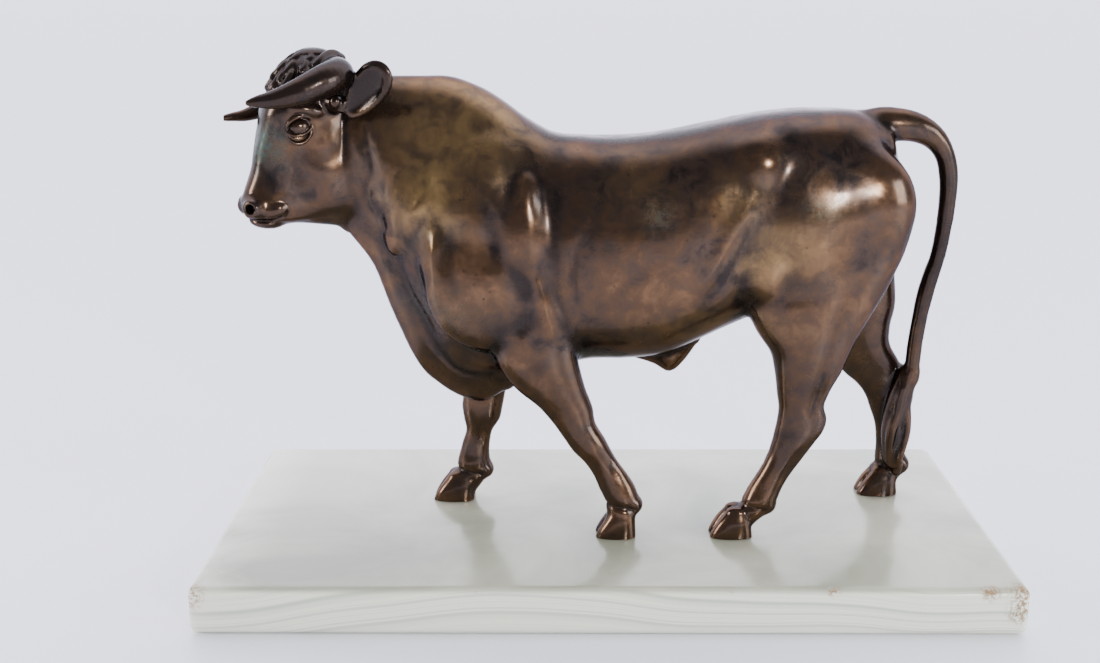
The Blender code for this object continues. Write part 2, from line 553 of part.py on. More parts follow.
class Casting:
    """The whole surface: forms melted into each other, hollows cut, and lines worked in."""

    def __init__(self):
        self.masses = list(all_masses())
        self.forms = [(form, 1) for form in self.masses]
        self.forms += [(form, -1) for form in hollows()]
        self.forms += [(form, 1) for form in eyes()]
        self.lines = list(strokes()) + list(face_strokes())

    def field(self, points):
        """How far each point is outside the surface, negative within it."""
        in_frame = {BODY: points, HEAD: HEAD.inward(points)}
        total = np.full(len(points), FAR_OUTSIDE)
        for form, sense in self.forms:
            local = in_frame[form.frame]
            low, high = form.corners()
            margin = form.blend + NEARBY
            close = ((local > low - margin) & (local < high + margin)).all(1)
            if not close.any():
                continue
            gap = sense * form.field(local[close])
            before = total[close]
            share = np.clip(0.5 + 0.5 * sense * (before - gap) / form.blend, 0, 1)
            melt = sense * form.blend * share * (1 - share)
            total[close] = before + share * (gap - before) - melt
        for line in self.lines:
            local = in_frame[line.frame]
            reach = 3 * line.width
            flat = local[:, (0, 2)]
            close = ((flat > line.path.min(0) - reach) & (flat < line.path.max(0) + reach)).all(1)
            if close.any():
                total[close] += line.field(local[close], MIDLINE if line.frame is BODY else 0.0)
        return total

    def settle(self, points, rounds):
        """Move points onto the surface along the field's slope."""
        step = 0.05
        for _ in range(rounds):
            here = self.field(points)
            slope = np.empty_like(points)
            for axis in range(3):
                ahead = points.copy()
                ahead[:, axis] += step
                slope[:, axis] = (self.field(ahead) - here) / step
            steep = np.maximum((slope ** 2).sum(1), 0.25)
            move = -(here / steep)[:, None] * slope
            length = np.linalg.norm(move, axis=1, keepdims=True)
            points = points + move * np.minimum(1, 1.0 / np.maximum(length, 1e-9))
        return points


def even_out(points, edges, amount):
    """Draw every point towards the mean of its neighbours."""
    total = np.zeros_like(points)
    count = np.zeros(len(points))
    for a, b in ((0, 1), (1, 0)):
        np.add.at(total, edges[:, a], points[edges[:, b]])
        np.add.at(count, edges[:, a], 1)
    return points + amount * (total / count[:, None] - points)


def rough_form(casting):
    """All forms in one mesh, united by a voxel remesh."""
    joined = bmesh.new()
    for form in casting.masses:
        form.build(joined)
    bmesh.ops.recalc_face_normals(joined, faces=joined.faces)
    mesh = bpy.data.meshes.new("rough")
    joined.to_mesh(mesh)
    joined.free()
    holder = bpy.data.objects.new("rough", mesh)
    bpy.context.scene.collection.objects.link(holder)
    remesh = holder.modifiers.new("Grain", "REMESH")
    remesh.mode = "VOXEL"
    remesh.voxel_size = WORKING_GRAIN
    united = bpy.data.meshes.new_from_object(holder.evaluated_get(bpy.context.evaluated_depsgraph_get()))
    bpy.data.objects.remove(holder)
    bpy.data.meshes.remove(mesh)
    return united


def work_head_finer(mesh):
    """Halve the mesh of the head, whose forms are the smallest."""
    form = bmesh.new()
    form.from_mesh(mesh)
    places = HEAD.inward(np.array([vertex.co for vertex in form.verts]))
    on_head = (places[:, 2] > HEAD_FROM) & (places[:, 0] > -NAPE_BEHIND)
    chosen = [edge for edge in form.edges if all(on_head[vertex.index] for vertex in edge.verts)]
    bmesh.ops.subdivide_edges(form, edges=chosen, cuts=1, use_grid_fill=True)
    form.to_mesh(mesh)
    form.free()


def cast_bull(collection, material):
    """Form the bull, stand it on the slab and keep it light enough for a solid."""
    casting = Casting()
    mesh = rough_form(casting)
    work_head_finer(mesh)
    count = len(mesh.vertices)
    points = np.empty(count * 3)
    mesh.vertices.foreach_get("co", points)
    points = points.reshape(count, 3)
    edges = np.empty(len(mesh.edges) * 2, dtype=int)
    mesh.edges.foreach_get("vertices", edges)
    edges = edges.reshape(-1, 2)
    points = casting.settle(points, SETTLING_ROUNDS)
    for _ in range(2):
        points = casting.settle(even_out(points, edges, 0.5), 2)
    mesh.vertices.foreach_set("co", points.ravel())
    mesh.update()
    bull = bpy.data.objects.new("bull", mesh)
    collection.objects.link(bull)
    light = lightened(bull, points)
    bull.vertex_groups.clear()
    bull.data = light
    bpy.data.meshes.remove(mesh)
    light.transform(Matrix.Translation((0, 0, PLINTH_THICKNESS + STANDING_GAP)) @ Matrix.Scale(PART, 4))
    level_soles(light)
    light.name = "bull"
    light.materials.append(material)
    light.shade_smooth()
    return bull


def lightened(bull, points):
    """The casting's mesh with fewer triangles, most of them kept on the face and the horns."""
    places = HEAD.inward(points)
    on_face = (places[:, 2] > HEAD_FROM) & (places[:, 0] > FACE_FROM)
    freely = bull.vertex_groups.new(name="freely")
    freely.add([int(index) for index in np.flatnonzero(~on_face)], 1.0, "REPLACE")
    freely.add([int(index) for index in np.flatnonzero(on_face)], FACE_WEIGHT, "REPLACE")
    lighter = bull.modifiers.new("Lighter", "DECIMATE")
    bull.data.calc_loop_triangles()
    lighter.ratio = min(1.0, CASTING_TRIANGLES / len(bull.data.loop_triangles))
    lighter.vertex_group = freely.name
    lighter.vertex_group_factor = FACE_CARE
    light = bpy.data.meshes.new_from_object(bull.evaluated_get(bpy.context.evaluated_depsgraph_get()))
    bull.modifiers.remove(lighter)
    return light


def level_soles(mesh):
    """Cut the hooves off flat, just above the slab."""
    form = bmesh.new()
    form.from_mesh(mesh)
    everything = form.verts[:] + form.edges[:] + form.faces[:]
    floor = (0, 0, PLINTH_THICKNESS + STANDING_GAP)
    cut = bmesh.ops.bisect_plane(form, geom=everything, dist=1e-7, plane_co=floor, plane_no=(0, 0, -1),
                                 clear_outer=True)
    rim = [item for item in cut["geom_cut"] if isinstance(item, bmesh.types.BMEdge)]
    bmesh.ops.holes_fill(form, edges=rim)
    bmesh.ops.triangulate(form, faces=form.faces)
    bmesh.ops.recalc_face_normals(form, faces=form.faces)
    form.to_mesh(mesh)
    form.free()


def cut_slab(collection, material):
    """The onyx slab with its arrises eased."""
    bpy.ops.mesh.primitive_cube_add(size=1)
    slab = bpy.context.object
    slab.name = "plinth"
    form = bmesh.new()
    form.from_mesh(slab.data)
    bmesh.ops.scale(form, vec=(PLINTH_LENGTH, PLINTH_DEPTH, PLINTH_THICKNESS), verts=form.verts)
    bmesh.ops.translate(form, vec=(0, 0, PLINTH_THICKNESS / 2), verts=form.verts)
    form.to_mesh(slab.data)
    form.free()
    eased = slab.modifiers.new("Eased arrises", "BEVEL")
    eased.width = PLINTH_ARRIS
    eased.segments = 3
    slab.data.materials.append(material)
    for holder in list(slab.users_collection):
        holder.objects.unlink(slab)
    collection.objects.link(slab)
    return slab


def finish(name, colour, roughness, metallic):
    """A plain Principled material."""
    material = bpy.data.materials.new(name)
    material.use_nodes = True
    shader = material.node_tree.nodes["Principled BSDF"]
    shader.inputs["Base Color"].default_value = (*colour, 1)
    shader.inputs["Roughness"].default_value = roughness
    shader.inputs["Metallic"].default_value = metallic
    return material


def main():
    for leftover in list(bpy.data.objects):
        bpy.data.objects.remove(leftover)
    sculpture = bpy.data.collections.new("bull sculpture")
    bpy.context.scene.collection.children.link(sculpture)
    cut_slab(sculpture, finish("onyx", (0.72, 0.78, 0.69), 0.2, 0.0))
    cast_bull(sculpture, finish("bronze", (0.16, 0.095, 0.055), 0.3, 1.0))


main()
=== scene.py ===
"""Looks of the bull sculpture: a patinated bronze bull on a polished slab of pale green onyx.

The bull is worked finer than its solid, from the same forms: cells are laid across the field of
forms, hollows and worked lines, small ones on the head, hooves and tuft, and a skin is drawn
through them. Places on the bull are in parts, one thousandth of a metre each, with X and Y as in
the frame and Z up from the soles. On the head they are in the head's own frame.
"""

import json
import math

import bmesh
import bpy
import numpy as np
from mathutils import Matrix, Vector, noise

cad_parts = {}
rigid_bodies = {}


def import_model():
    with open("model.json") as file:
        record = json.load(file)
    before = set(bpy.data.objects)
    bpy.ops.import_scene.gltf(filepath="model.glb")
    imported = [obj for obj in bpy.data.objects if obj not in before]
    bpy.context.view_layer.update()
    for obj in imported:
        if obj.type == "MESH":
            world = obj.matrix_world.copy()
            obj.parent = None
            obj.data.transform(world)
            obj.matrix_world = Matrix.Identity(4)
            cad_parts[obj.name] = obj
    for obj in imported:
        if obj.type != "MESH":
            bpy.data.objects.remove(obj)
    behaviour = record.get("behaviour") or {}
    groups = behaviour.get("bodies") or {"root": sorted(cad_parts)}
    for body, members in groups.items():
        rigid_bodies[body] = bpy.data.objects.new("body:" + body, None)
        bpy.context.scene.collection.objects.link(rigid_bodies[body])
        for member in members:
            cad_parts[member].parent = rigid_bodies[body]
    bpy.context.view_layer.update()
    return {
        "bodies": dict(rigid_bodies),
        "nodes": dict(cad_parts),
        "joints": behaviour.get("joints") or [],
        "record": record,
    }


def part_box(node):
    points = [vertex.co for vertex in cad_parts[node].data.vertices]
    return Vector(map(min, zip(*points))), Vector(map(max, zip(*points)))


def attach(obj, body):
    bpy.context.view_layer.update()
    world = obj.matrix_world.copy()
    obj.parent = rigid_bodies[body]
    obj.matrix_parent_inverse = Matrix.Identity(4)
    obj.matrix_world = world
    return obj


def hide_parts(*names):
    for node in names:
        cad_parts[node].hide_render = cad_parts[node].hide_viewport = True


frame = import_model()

# The frame's own places, in metres
SLAB_LOW, SLAB_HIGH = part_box("plinth")
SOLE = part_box("bull")[0][2]
PART = 0.001

# The body's middle plane, and the head's seat and turn, in parts and degrees
MIDLINE = -4.0
HEAD_SEAT = (-105.0, -6.0, 0.0)
HEAD_TURN = 23.0

# The finest grain of the casting, in parts. The body is worked at four times this grain
GRAIN = 0.43
# The points worked at one time, and the blocks by which neighbours are gathered
BATCH = 2500
BLOCK = 14.0

# The field's value far from every form, and how far outside itself a form still counts, in parts
FAR_OUTSIDE = 60.0
NEARBY = 3.2
# Settling: the step by which the field's slope is taken, the least square of a slope that is
# believed, and the longest move in one round
SLOPE_STEP = 0.04
LEAST_STEEP = 0.25
LONGEST_MOVE = 0.8
# How far from the middle plane a worked line reaches its full height
LINE_FADE = 4


def hermite(rows, at):
    """Read a table of rows at the places given, along a smooth curve through every row."""
    rows = np.asarray(rows, float)
    place = rows[:, 0]
    at = np.clip(at, place[0], place[-1])
    slopes = np.gradient(rows, place, axis=0)
    start = np.clip(np.searchsorted(place, at, side="right") - 1, 0, len(place) - 2)
    span = place[start + 1] - place[start]
    s = ((at - place[start]) / span)[:, None]
    span = span[:, None]
    from_start = (1 + 2 * s) * (1 - s) ** 2 * rows[start] + s * (1 - s) ** 2 * span * slopes[start]
    from_end = s * s * (3 - 2 * s) * rows[start + 1] - s * s * (1 - s) * span * slopes[start + 1]
    return from_start + from_end


def smooth_path(rows, steps):
    """A smooth path through rows of coordinates, with some steps from each row to the next."""
    numbered = np.column_stack([np.arange(len(rows)), np.asarray(rows, float)])
    return hermite(numbered, np.linspace(0, len(rows) - 1, (len(rows) - 1) * steps + 1))[:, 1:]


def radial_gap(offset, ratio):
    """Distance out of a form along the ray from its middle, from the ratio of offset to surface."""
    return offset - offset / np.maximum(ratio, 1e-6)


class Frame:
    """A seat and three directions in which a form is drawn."""

    def __init__(self, seat=(0, 0, 0), axes=((1, 0, 0), (0, 1, 0), (0, 0, 1))):
        self.seat = np.array(seat, float)
        self.axes = np.array(axes, float)

    def inward(self, points):
        return (points - self.seat) @ self.axes.T


BODY = Frame()


def head_frame():
    """Forward along the face's aim, sideways to the bull's left, and up."""
    turn = math.radians(HEAD_TURN)
    forward = (-math.cos(turn), -math.sin(turn), 0)
    left = (math.sin(turn), -math.cos(turn), 0)
    return Frame(HEAD_SEAT, (forward, left, (0, 0, 1)))


HEAD = head_frame()


class Sweep:
    """A trunk, limb or skull swept along one axis.

    Each row gives a station: its place on the axis, the section's low and high edges across it,
    where between them the section is widest, its middle plane, its half width, and the fullness
    of its low and high ends, where 2 is an ellipse.
    """

    def __init__(self, axis, rows, ends, blend, frame=BODY):
        self.rows = [tuple(row) + (2.1, 2.1)[len(row) - 6:] for row in rows]
        self.along, self.across, self.side = {"X": (0, 2, 1), "Z": (2, 0, 1)}[axis]
        self.ends = ends
        self.blend = blend
        self.frame = frame

    def corners(self):
        rows = np.array(self.rows)
        low = np.zeros(3)
        high = np.zeros(3)
        low[self.along] = rows[0, 0] - self.ends[0]
        high[self.along] = rows[-1, 0] + self.ends[1]
        low[self.across] = rows[:, 1].min()
        high[self.across] = rows[:, 2].max()
        low[self.side] = (rows[:, 4] - rows[:, 5]).min()
        high[self.side] = (rows[:, 4] + rows[:, 5]).max()
        return low, high

    def field(self, points):
        place = points[:, self.along]
        _, low, high, share, middle, half, low_full, high_full = hermite(self.rows, place).T
        widest = low + share * (high - low)
        rise = points[:, self.across] - widest
        over = rise > 0
        reach = np.where(over, high - widest, widest - low)
        full = np.where(over, high_full, low_full)
        aside = points[:, self.side] - middle
        ratio = ((np.abs(rise) / reach) ** full + (np.abs(aside) / half) ** full) ** (1 / full)
        before = np.maximum(self.rows[0][0] - place, 0)
        beyond = np.maximum(place - self.rows[-1][0], 0)
        ratio = np.sqrt(ratio ** 2 + (before / self.ends[0]) ** 2 + (beyond / self.ends[1]) ** 2)
        return radial_gap(np.sqrt(rise ** 2 + aside ** 2 + before ** 2 + beyond ** 2), ratio)


class Ball:
    """A muscle or bone drawn as an ellipsoid: middle, half lengths, and the turns about X, Y and Z.

    Its axes may be given as columns instead of turns. The taper narrows its third half length
    towards the start of its first axis.
    """

    def __init__(self, middle, radii, blend, turn=(0, 0, 0), frame=BODY, axes=None, taper=0.0):
        self.middle = np.array(middle, float)
        self.radii = np.array(radii, float)
        self.blend = blend
        self.frame = frame
        self.taper = taper
        x, y, z = (math.radians(angle) for angle in turn)
        about_x = np.array([[1, 0, 0], [0, math.cos(x), -math.sin(x)], [0, math.sin(x), math.cos(x)]])
        about_y = np.array([[math.cos(y), 0, math.sin(y)], [0, 1, 0], [-math.sin(y), 0, math.cos(y)]])
        about_z = np.array([[math.cos(z), -math.sin(z), 0], [math.sin(z), math.cos(z), 0], [0, 0, 1]])
        self.turned = about_z @ about_y @ about_x if axes is None else axes

    def corners(self):
        reach = np.sqrt((self.turned ** 2) @ (self.radii ** 2)) * (1 + self.taper)
        return self.middle - reach, self.middle + reach

    def field(self, points):
        offset = (points - self.middle) @ self.turned
        shares = offset / self.radii
        shares[:, 2] /= 1 + self.taper * np.clip(shares[:, 0], -1, 1)
        ratio = np.sqrt((shares ** 2).sum(1))
        return radial_gap(np.sqrt((offset ** 2).sum(1)), ratio)


class Strand:
    """A horn, tail or lock of hair: a smooth path of rows of x, y, z and radius."""

    def __init__(self, rows, blend, frame=BODY, steps=5):
        self.path = smooth_path(rows, steps)
        self.blend = blend
        self.frame = frame

    def corners(self):
        reach = self.path[:, 3:4]
        return (self.path[:, :3] - reach).min(0), (self.path[:, :3] + reach).max(0)

    def field(self, points):
        nearest = np.full(len(points), FAR_OUTSIDE)
        for start, end in zip(self.path, self.path[1:]):
            run = end[:3] - start[:3]
            share = np.clip((points - start[:3]) @ run / (run @ run), 0, 1)
            gap = np.linalg.norm(points - start[:3] - share[:, None] * run, axis=1)
            nearest = np.minimum(nearest, gap - start[3] - share * (end[3] - start[3]))
        return nearest


class Stroke:
    """A line worked into the surface: its points, width and height, below the surface if negative.

    The line is drawn on the body's side view, or on the head's, and works the side that it names.
    Its height fades at both ends.
    """

    def __init__(self, line, width, height, side=0, frame=BODY, fade=0.5):
        self.path = smooth_path(line, 4)
        self.width = width
        self.height = height
        self.side = side
        self.frame = frame
        self.fade = fade

    def field(self, points, middle):
        flat = points[:, (0, 2)]
        aside = points[:, 1] - middle
        nearest = np.full(len(points), FAR_OUTSIDE)
        strength = np.ones(len(points))
        lengths = np.linalg.norm(np.diff(self.path, axis=0), axis=1)
        total = lengths.sum()
        run = 0.0
        for start, end, length in zip(self.path, self.path[1:], lengths):
            share = np.clip((flat - start) @ (end - start) / length ** 2, 0, 1)
            gap = np.linalg.norm(flat - start - share[:, None] * (end - start), axis=1)
            place = (run + share * length) / total
            closer = gap < nearest
            nearest = np.where(closer, gap, nearest)
            faded = np.clip(np.minimum(place, 1 - place) / self.fade, 0, 1)
            strength = np.where(closer, faded, strength)
            run += length
        rounded = np.exp(-(nearest / self.width) ** 2) * strength * (2 - strength)
        out = aside * self.side if self.side else np.abs(aside)
        rounded = rounded * np.clip(out / LINE_FADE, 0, 1)
        return -self.height * rounded


def trunk():
    """Neck, chest, barrel and croup, and the thin dewlap hanging in front."""
    yield Sweep("X", [
        (-100, 130, 175, 0.45, -6.5, 10), (-90, 122, 178.4, 0.45, -6, 14.5),
        (-80, 102, 178.6, 0.46, -5.2, 19.5, 1.9, 2.0), (-70, 82, 178.6, 0.46, -4.6, 24.5, 1.8, 2.0),
        (-60, 66, 178.3, 0.45, MIDLINE, 29, 1.8, 2.0), (-50, 61, 175.3, 0.45, MIDLINE, 32, 1.9, 2.0),
        (-40, 60, 169.8, 0.45, MIDLINE, 33.5, 2.0, 2.1), (-30, 61, 162.3, 0.44, MIDLINE, 34, 2.1, 2.2),
        (-20, 63.8, 156.9, 0.43, MIDLINE, 34, 2.2, 2.4), (-8, 67.4, 155.5, 0.43, MIDLINE, 34.5, 2.2, 2.6),
        (8, 67.9, 155.4, 0.44, MIDLINE, 35.5, 2.2, 2.6), (24, 69.8, 157.2, 0.45, MIDLINE, 35.5, 2.2, 2.6),
        (38, 76, 159.8, 0.46, MIDLINE, 34.5, 2.2, 2.7), (52, 82.4, 162.7, 0.5, MIDLINE, 32.5, 2.2, 2.8),
        (66, 88, 164.9, 0.55, MIDLINE, 30.5, 2.2, 2.8), (82, 91, 165.6, 0.58, MIDLINE, 28, 2.2, 2.7),
        (98, 94, 164.4, 0.6, MIDLINE, 23.5, 2.2, 2.3), (108, 102, 160, 0.56, MIDLINE, 17, 2.2, 2.0),
    ], (6, 5), 6)
    yield Sweep("X", [
        (-100, 118, 150, 0.6, -6.5, 7, 1.7, 2), (-91, 105, 142, 0.7, -6, 8.5, 1.7, 2),
        (-82, 80.8, 128, 0.75, -5.4, 9.5, 1.7, 2), (-74, 63.8, 112, 0.75, -4.8, 10.5, 1.7, 2),
        (-66, 55.6, 98, 0.7, MIDLINE, 11.5, 1.7, 2), (-58, 50.6, 88, 0.65, MIDLINE, 12, 1.8, 2),
        (-48, 48.6, 82, 0.55, MIDLINE, 11.5, 1.9, 2), (-40, 53, 78, 0.5, MIDLINE, 10),
    ], (6, 8), 6)
    yield Sweep("X", [
        (14, 66, 80, 0.6, MIDLINE, 3.5), (20, 64, 80, 0.6, MIDLINE, 5), (27, 60.8, 80, 0.5, MIDLINE, 5.6),
        (32, 65, 80, 0.5, MIDLINE, 4.4), (37, 72, 82, 0.5, MIDLINE, 3.2),
    ], (3, 2), 3)


# Muscles and bones on both sides of the trunk, in parts: the middle along X, its distance from the
# middle plane, its height, the three half lengths, the blend and the tilt in degrees
MUSCLES = (
    # Scapula, upper arm, and the bosses behind and before the shoulder
    (-49, 22, 130, 15, 9, 24, 9, 12), (-50, 26, 99, 18, 9, 22, 7, -18),
    (-31, 27.4, 122, 6.5, 6.6, 20, 6, 4), (-23, 27, 93, 6, 6.5, 16, 4, -14),
    (-62, 22, 116, 7, 7, 13, 5, 8), (-74, 15, 131, 7, 7, 20, 6, 22),
    # Point of hip, rump, flank and thigh
    (57, 22.4, 148, 9, 7.4, 8, 7, 20), (97.6, 18, 130, 19.6, 12, 22.4, 7, -1),
    (61, 23, 107, 7.5, 9, 13, 6, -8), (78, 19, 122, 20, 14, 26, 9, 0),
)


def muscles(side):
    """The muscles and bones on one side of the trunk."""
    for x, out, z, *radii, blend, tilt in MUSCLES:
        yield Ball((x, MIDLINE + side * out, z), radii, blend, (0, tilt, 0))


NEAR_FORE = [
    (0, 0, 10.6, 0.5, -26, 4.6), (6, 1.4, 12, 0.5, -26, 5), (11, 0.8, 12.8, 0.5, -26, 5.6),
    (15, 0, 13.4, 0.5, -26, 5.8), (20, -2.4, 12, 0.5, -26, 5.2), (25, -4.6, 8.8, 0.5, -26, 4.8),
    (30, -7.8, 5.2, 0.5, -26, 5), (35, -12.6, 2.4, 0.5, -26, 6), (40, -16, 0, 0.5, -26, 6.3),
    (46, -20, -3.6, 0.5, -26, 6.2), (52, -25, -4.6, 0.5, -26, 7), (60, -34, -7.4, 0.5, -26.5, 8.4),
    (70, -41, -10, 0.5, -27.5, 9.5), (82, -43, -12.4, 0.5, -28, 9.5),
]
FAR_FORE = [
    (0, -66, -56, 0.5, 15, 4.6), (6, -64, -51, 0.5, 15, 5), (11, -61.6, -48, 0.5, 15, 5.6),
    (16, -61, -47.4, 0.5, 15, 5.8), (20, -60, -47.6, 0.5, 15, 5), (25, -58.6, -47.2, 0.5, 15, 4.7),
    (30, -57.2, -46, 0.5, 15, 4.9), (35, -58, -43, 0.5, 15, 6), (40, -58.6, -41.8, 0.5, 15, 6.3),
    (46, -58.4, -40.6, 0.5, 15, 6.2), (52, -60, -39, 0.5, 15.4, 7), (60, -63, -37, 0.5, 16, 8.2),
    (70, -66, -35, 0.5, 17, 9.2), (82, -66, -32, 0.5, 18, 9.5),
]
NEAR_HIND = [
    (0, 47, 56.6, 0.5, -26, 4.6), (5, 49, 60, 0.5, -26, 5), (10, 52, 65.4, 0.5, -26, 5.5),
    (15, 54.6, 68.2, 0.5, -26, 5.8), (20, 57, 70.2, 0.5, -26, 5), (26, 60.6, 73.6, 0.5, -26, 4.6),
    (32, 63.6, 78, 0.5, -25.6, 4.9), (38, 65.6, 82.2, 0.5, -25.2, 5.8), (43, 66.6, 85.6, 0.5, -25, 6),
    (47.5, 67.4, 86.6, 0.45, -25, 5.6), (52, 67.8, 85.4, 0.42, -25, 5.8), (58, 66.9, 87.2, 0.42, -24.6, 7),
    (66, 65.8, 91.4, 0.42, -24, 9), (74, 64, 94.8, 0.44, -23, 11), (82, 58.6, 98.6, 0.45, -22, 12.5),
    (92, 54, 104.6, 0.46, -20.6, 14), (104, 53.4, 111, 0.48, -19, 15),
    (118, 56, 116.4, 0.5, -17, 15), (132, 62, 116.6, 0.52, -15, 13.5),
]
FAR_HIND = [
    (0, 114, 124, 0.5, 21.6, 4.6), (5, 115, 126, 0.5, 21.6, 5), (10, 115.4, 129, 0.5, 21.6, 5.5),
    (15, 116.6, 129.4, 0.5, 21.6, 5.8), (20, 116.8, 128.8, 0.5, 21.6, 5), (26, 116.4, 129, 0.5, 21.4, 4.6),
    (32, 115.2, 129.4, 0.5, 21, 4.9), (38, 113, 130.2, 0.5, 20.6, 5.8), (43, 111, 130.8, 0.5, 20, 6),
    (48, 107.6, 130.6, 0.48, 19.6, 5.8), (54, 101, 128.6, 0.46, 19, 6.2), (60, 96, 123.4, 0.45, 18, 7.4),
    (66, 92, 119.4, 0.45, 17, 9), (74, 86, 118.4, 0.46, 15.6, 10.8), (84, 80, 119.6, 0.47, 14, 12.4),
    (96, 74, 118.4, 0.48, 12.4, 13.6), (110, 70, 117, 0.5, 11, 14), (130, 70, 116.4, 0.52, 9.6, 13),
]


def hoof(toe, heel, y, fetlock, cleft):
    """Two claws side by side, parted by a cleft, and the pad of the fetlock behind them."""
    for side in (-1, 1):
        middle = y + side * 3.2
        yield Sweep("Z", [
            (-2, toe, heel, 0.55, middle, 4.1, 2.3, 2.3), (0, toe, heel, 0.55, middle, 4.1, 2.3, 2.3),
            (3, toe + 1.2, heel - 0.2, 0.55, middle, 4.0, 2.3, 2.3),
            (6.5, toe + 3.4, heel - 0.8, 0.55, middle, 3.6, 2.2, 2.2),
            (10, toe + 6.2, heel - 1.6, 0.5, middle - side * 0.6, 3.1),
        ], (2, 2), cleft)
    yield Ball((fetlock - 1.6, y, 12.2), (3.4, 4.6, 3.6), 2.0, (0, 24, 0))


# Each hoof's toe, heel and middle, the back of its fetlock, and how far its claws are parted
HOOVES = (
    (-3.2, 12.4, -26, 13.4, 2.6), (-71, -54, 15, -47.6, 2.6),
    (41.8, 58.4, -26, 66.0, 0.7), (109, 125.8, 21.6, 129.4, 1.6),
)


def tail():
    """The tail's arch, its hanging cord, and the wavy tuft laid against the far hind leg."""
    yield Strand([
        (94, -3.6, 155, 6), (104, -3.4, 158.8, 6.8), (113, -3, 159.2, 6.4), (121, -2.4, 157.6, 5.6),
        (127.8, -1.6, 153.6, 4.6), (132.4, -0.8, 147, 3.8), (134.6, 0, 138, 3.6), (134.9, 1, 128, 3.3),
        (134.4, 2, 118, 3.1), (133.3, 3.4, 107, 3.0), (130.8, 5, 96, 3.3), (129, 6.6, 85, 3.2),
        (128, 8.2, 74, 3.0), (127.4, 9.8, 64, 3.2), (126.6, 11, 54, 3.8),
    ], 3)
    yield Strand([
        (126.2, 11, 56, 4), (123.8, 12, 46, 4.8), (122, 13, 36, 4.8), (121.8, 13.6, 26, 4.6),
        (122.6, 13.6, 17, 4), (124.4, 13.4, 12, 2.2),
    ], 2)
    for start, sway, depth, thick in ((0.0, 0.9, -2.6, 2.2), (2.2, 1.1, 0.0, 2.3), (4.2, 0.8, 2.4, 2.1)):
        locks = []
        for step in range(8):
            drop = step / 7
            spread = depth * min(1, 1.7 * drop)
            locks.append((124.9 - 2.6 * drop + spread + sway * math.sin(start + 7 * drop),
                          9.8 + 1.2 * math.cos(start + 6 * drop), 58 - 45.5 * drop,
                          thick * (1 - drop ** 4) * min(1, 0.35 + 2.6 * drop)))
        yield Strand(locks, 1.3, steps=4)


def skull():
    """Skull, jaw, muzzle and the bosses round the eye, drawn in the head's frame."""
    yield Sweep("Z", [
        (126.6, 4, 34.4, 0.62, 0, 8.6, 2.3, 2.3), (131, -2, 36.4, 0.64, 0, 9.6, 2.2, 2.4),
        (137, -6, 34.8, 0.52, 0, 10, 2.1, 2.4), (144, -8, 32.2, 0.44, 0, 10.6, 2.1, 2.5),
        (152, -9, 30.6, 0.46, 0, 11.4, 2.1, 2.5), (160, -9, 28.8, 0.5, 0, 13, 2.1, 2.6),
        (168, -8, 26.8, 0.54, 0, 13.6, 2.1, 2.8), (176, -6, 22.4, 0.54, 0, 12.6, 2.1, 2.5),
        (183, -3, 17, 0.5, 0, 10.4), (187, 0, 12.6, 0.5, 0, 7.4),
    ], (2.6, 2.6), 3, HEAD)
    for side in (-1, 1):
        yield Ball((2.5, side * 7.4, 142), (12.5, 6.6, 15.5), 5, (0, 14, 0), HEAD)
        yield Ball((12.4, side * 12.0, 167.2), (6.4, 3.2, 2.6), 2.0, (0, -12, 0), HEAD)
        yield Ball((5.4, side * 10.4, 155), (6, 2.0, 9), 4, (0, -8, 0), HEAD)
        yield Ball((32.2, side * 5.4, 130.2), (4.8, 4.4, 4.4), 2, (0, 0, 0), HEAD)
        yield Ball((25.4, side * 7.6, 129.4), (4.6, 2.6, 3), 1.6, (0, 10, 0), HEAD)
    yield Ball((27.4, 0, 124.4), (6.4, 7, 2.9), 1.6, (0, -6, 0), HEAD)
    yield Sweep("X", [
        (-16, 122, 165, 0.5, 0, 12), (-6, 119.8, 165, 0.5, 0, 11.5), (4, 121.4, 150, 0.5, 0, 10.5),
        (14, 122.8, 140, 0.5, 0, 9), (24, 123.6, 136, 0.5, 0, 8),
    ], (5, 4), 3, HEAD)


def horns():
    """The near horn and the far one, which sits a little lower."""
    yield Strand([
        (6, 6, 179.8, 6.2), (2.6, 15, 180.5, 6.3), (3.2, 23, 180.5, 6.3), (8.6, 28, 179.2, 6.1),
        (17, 29.4, 176, 5.2), (26, 28.4, 173.3, 3.7), (33, 27, 172.4, 2.3), (36.6, 26.4, 172, 1.2),
    ], 1.2, HEAD)
    yield Strand([
        (6, -6, 179.5, 6.2), (2.6, -15, 178.6, 6.4), (3.2, -23, 176, 6.2), (9, -28.4, 171.6, 5.4),
        (17, -30, 166, 3.9), (26, -29, 162.6, 2.7), (33, -28, 161.8, 1.8), (37, -27.6, 161.5, 1.1),
    ], 1.2, HEAD)


def ears():
    """A root, a knob before it and a leaf on each side. The leaves are hollowed afterwards."""
    for side in (-1, 1):
        yield Strand([
            (3.4, side * 12, 169.8, 3.6), (0.2, side * 16.4, 169.2, 3.4), (-3.0, side * 19.4, 168.6, 2.8),
        ], 1.4, HEAD)
        yield Ball((3.0, side * 18.6, 170.4), (2.2, 2.2, 2.4), 0.7, (0, 0, 0), HEAD)
        yield ear_leaf(side, 0.0, (13.6, 2.8, 6.9), 1.0)


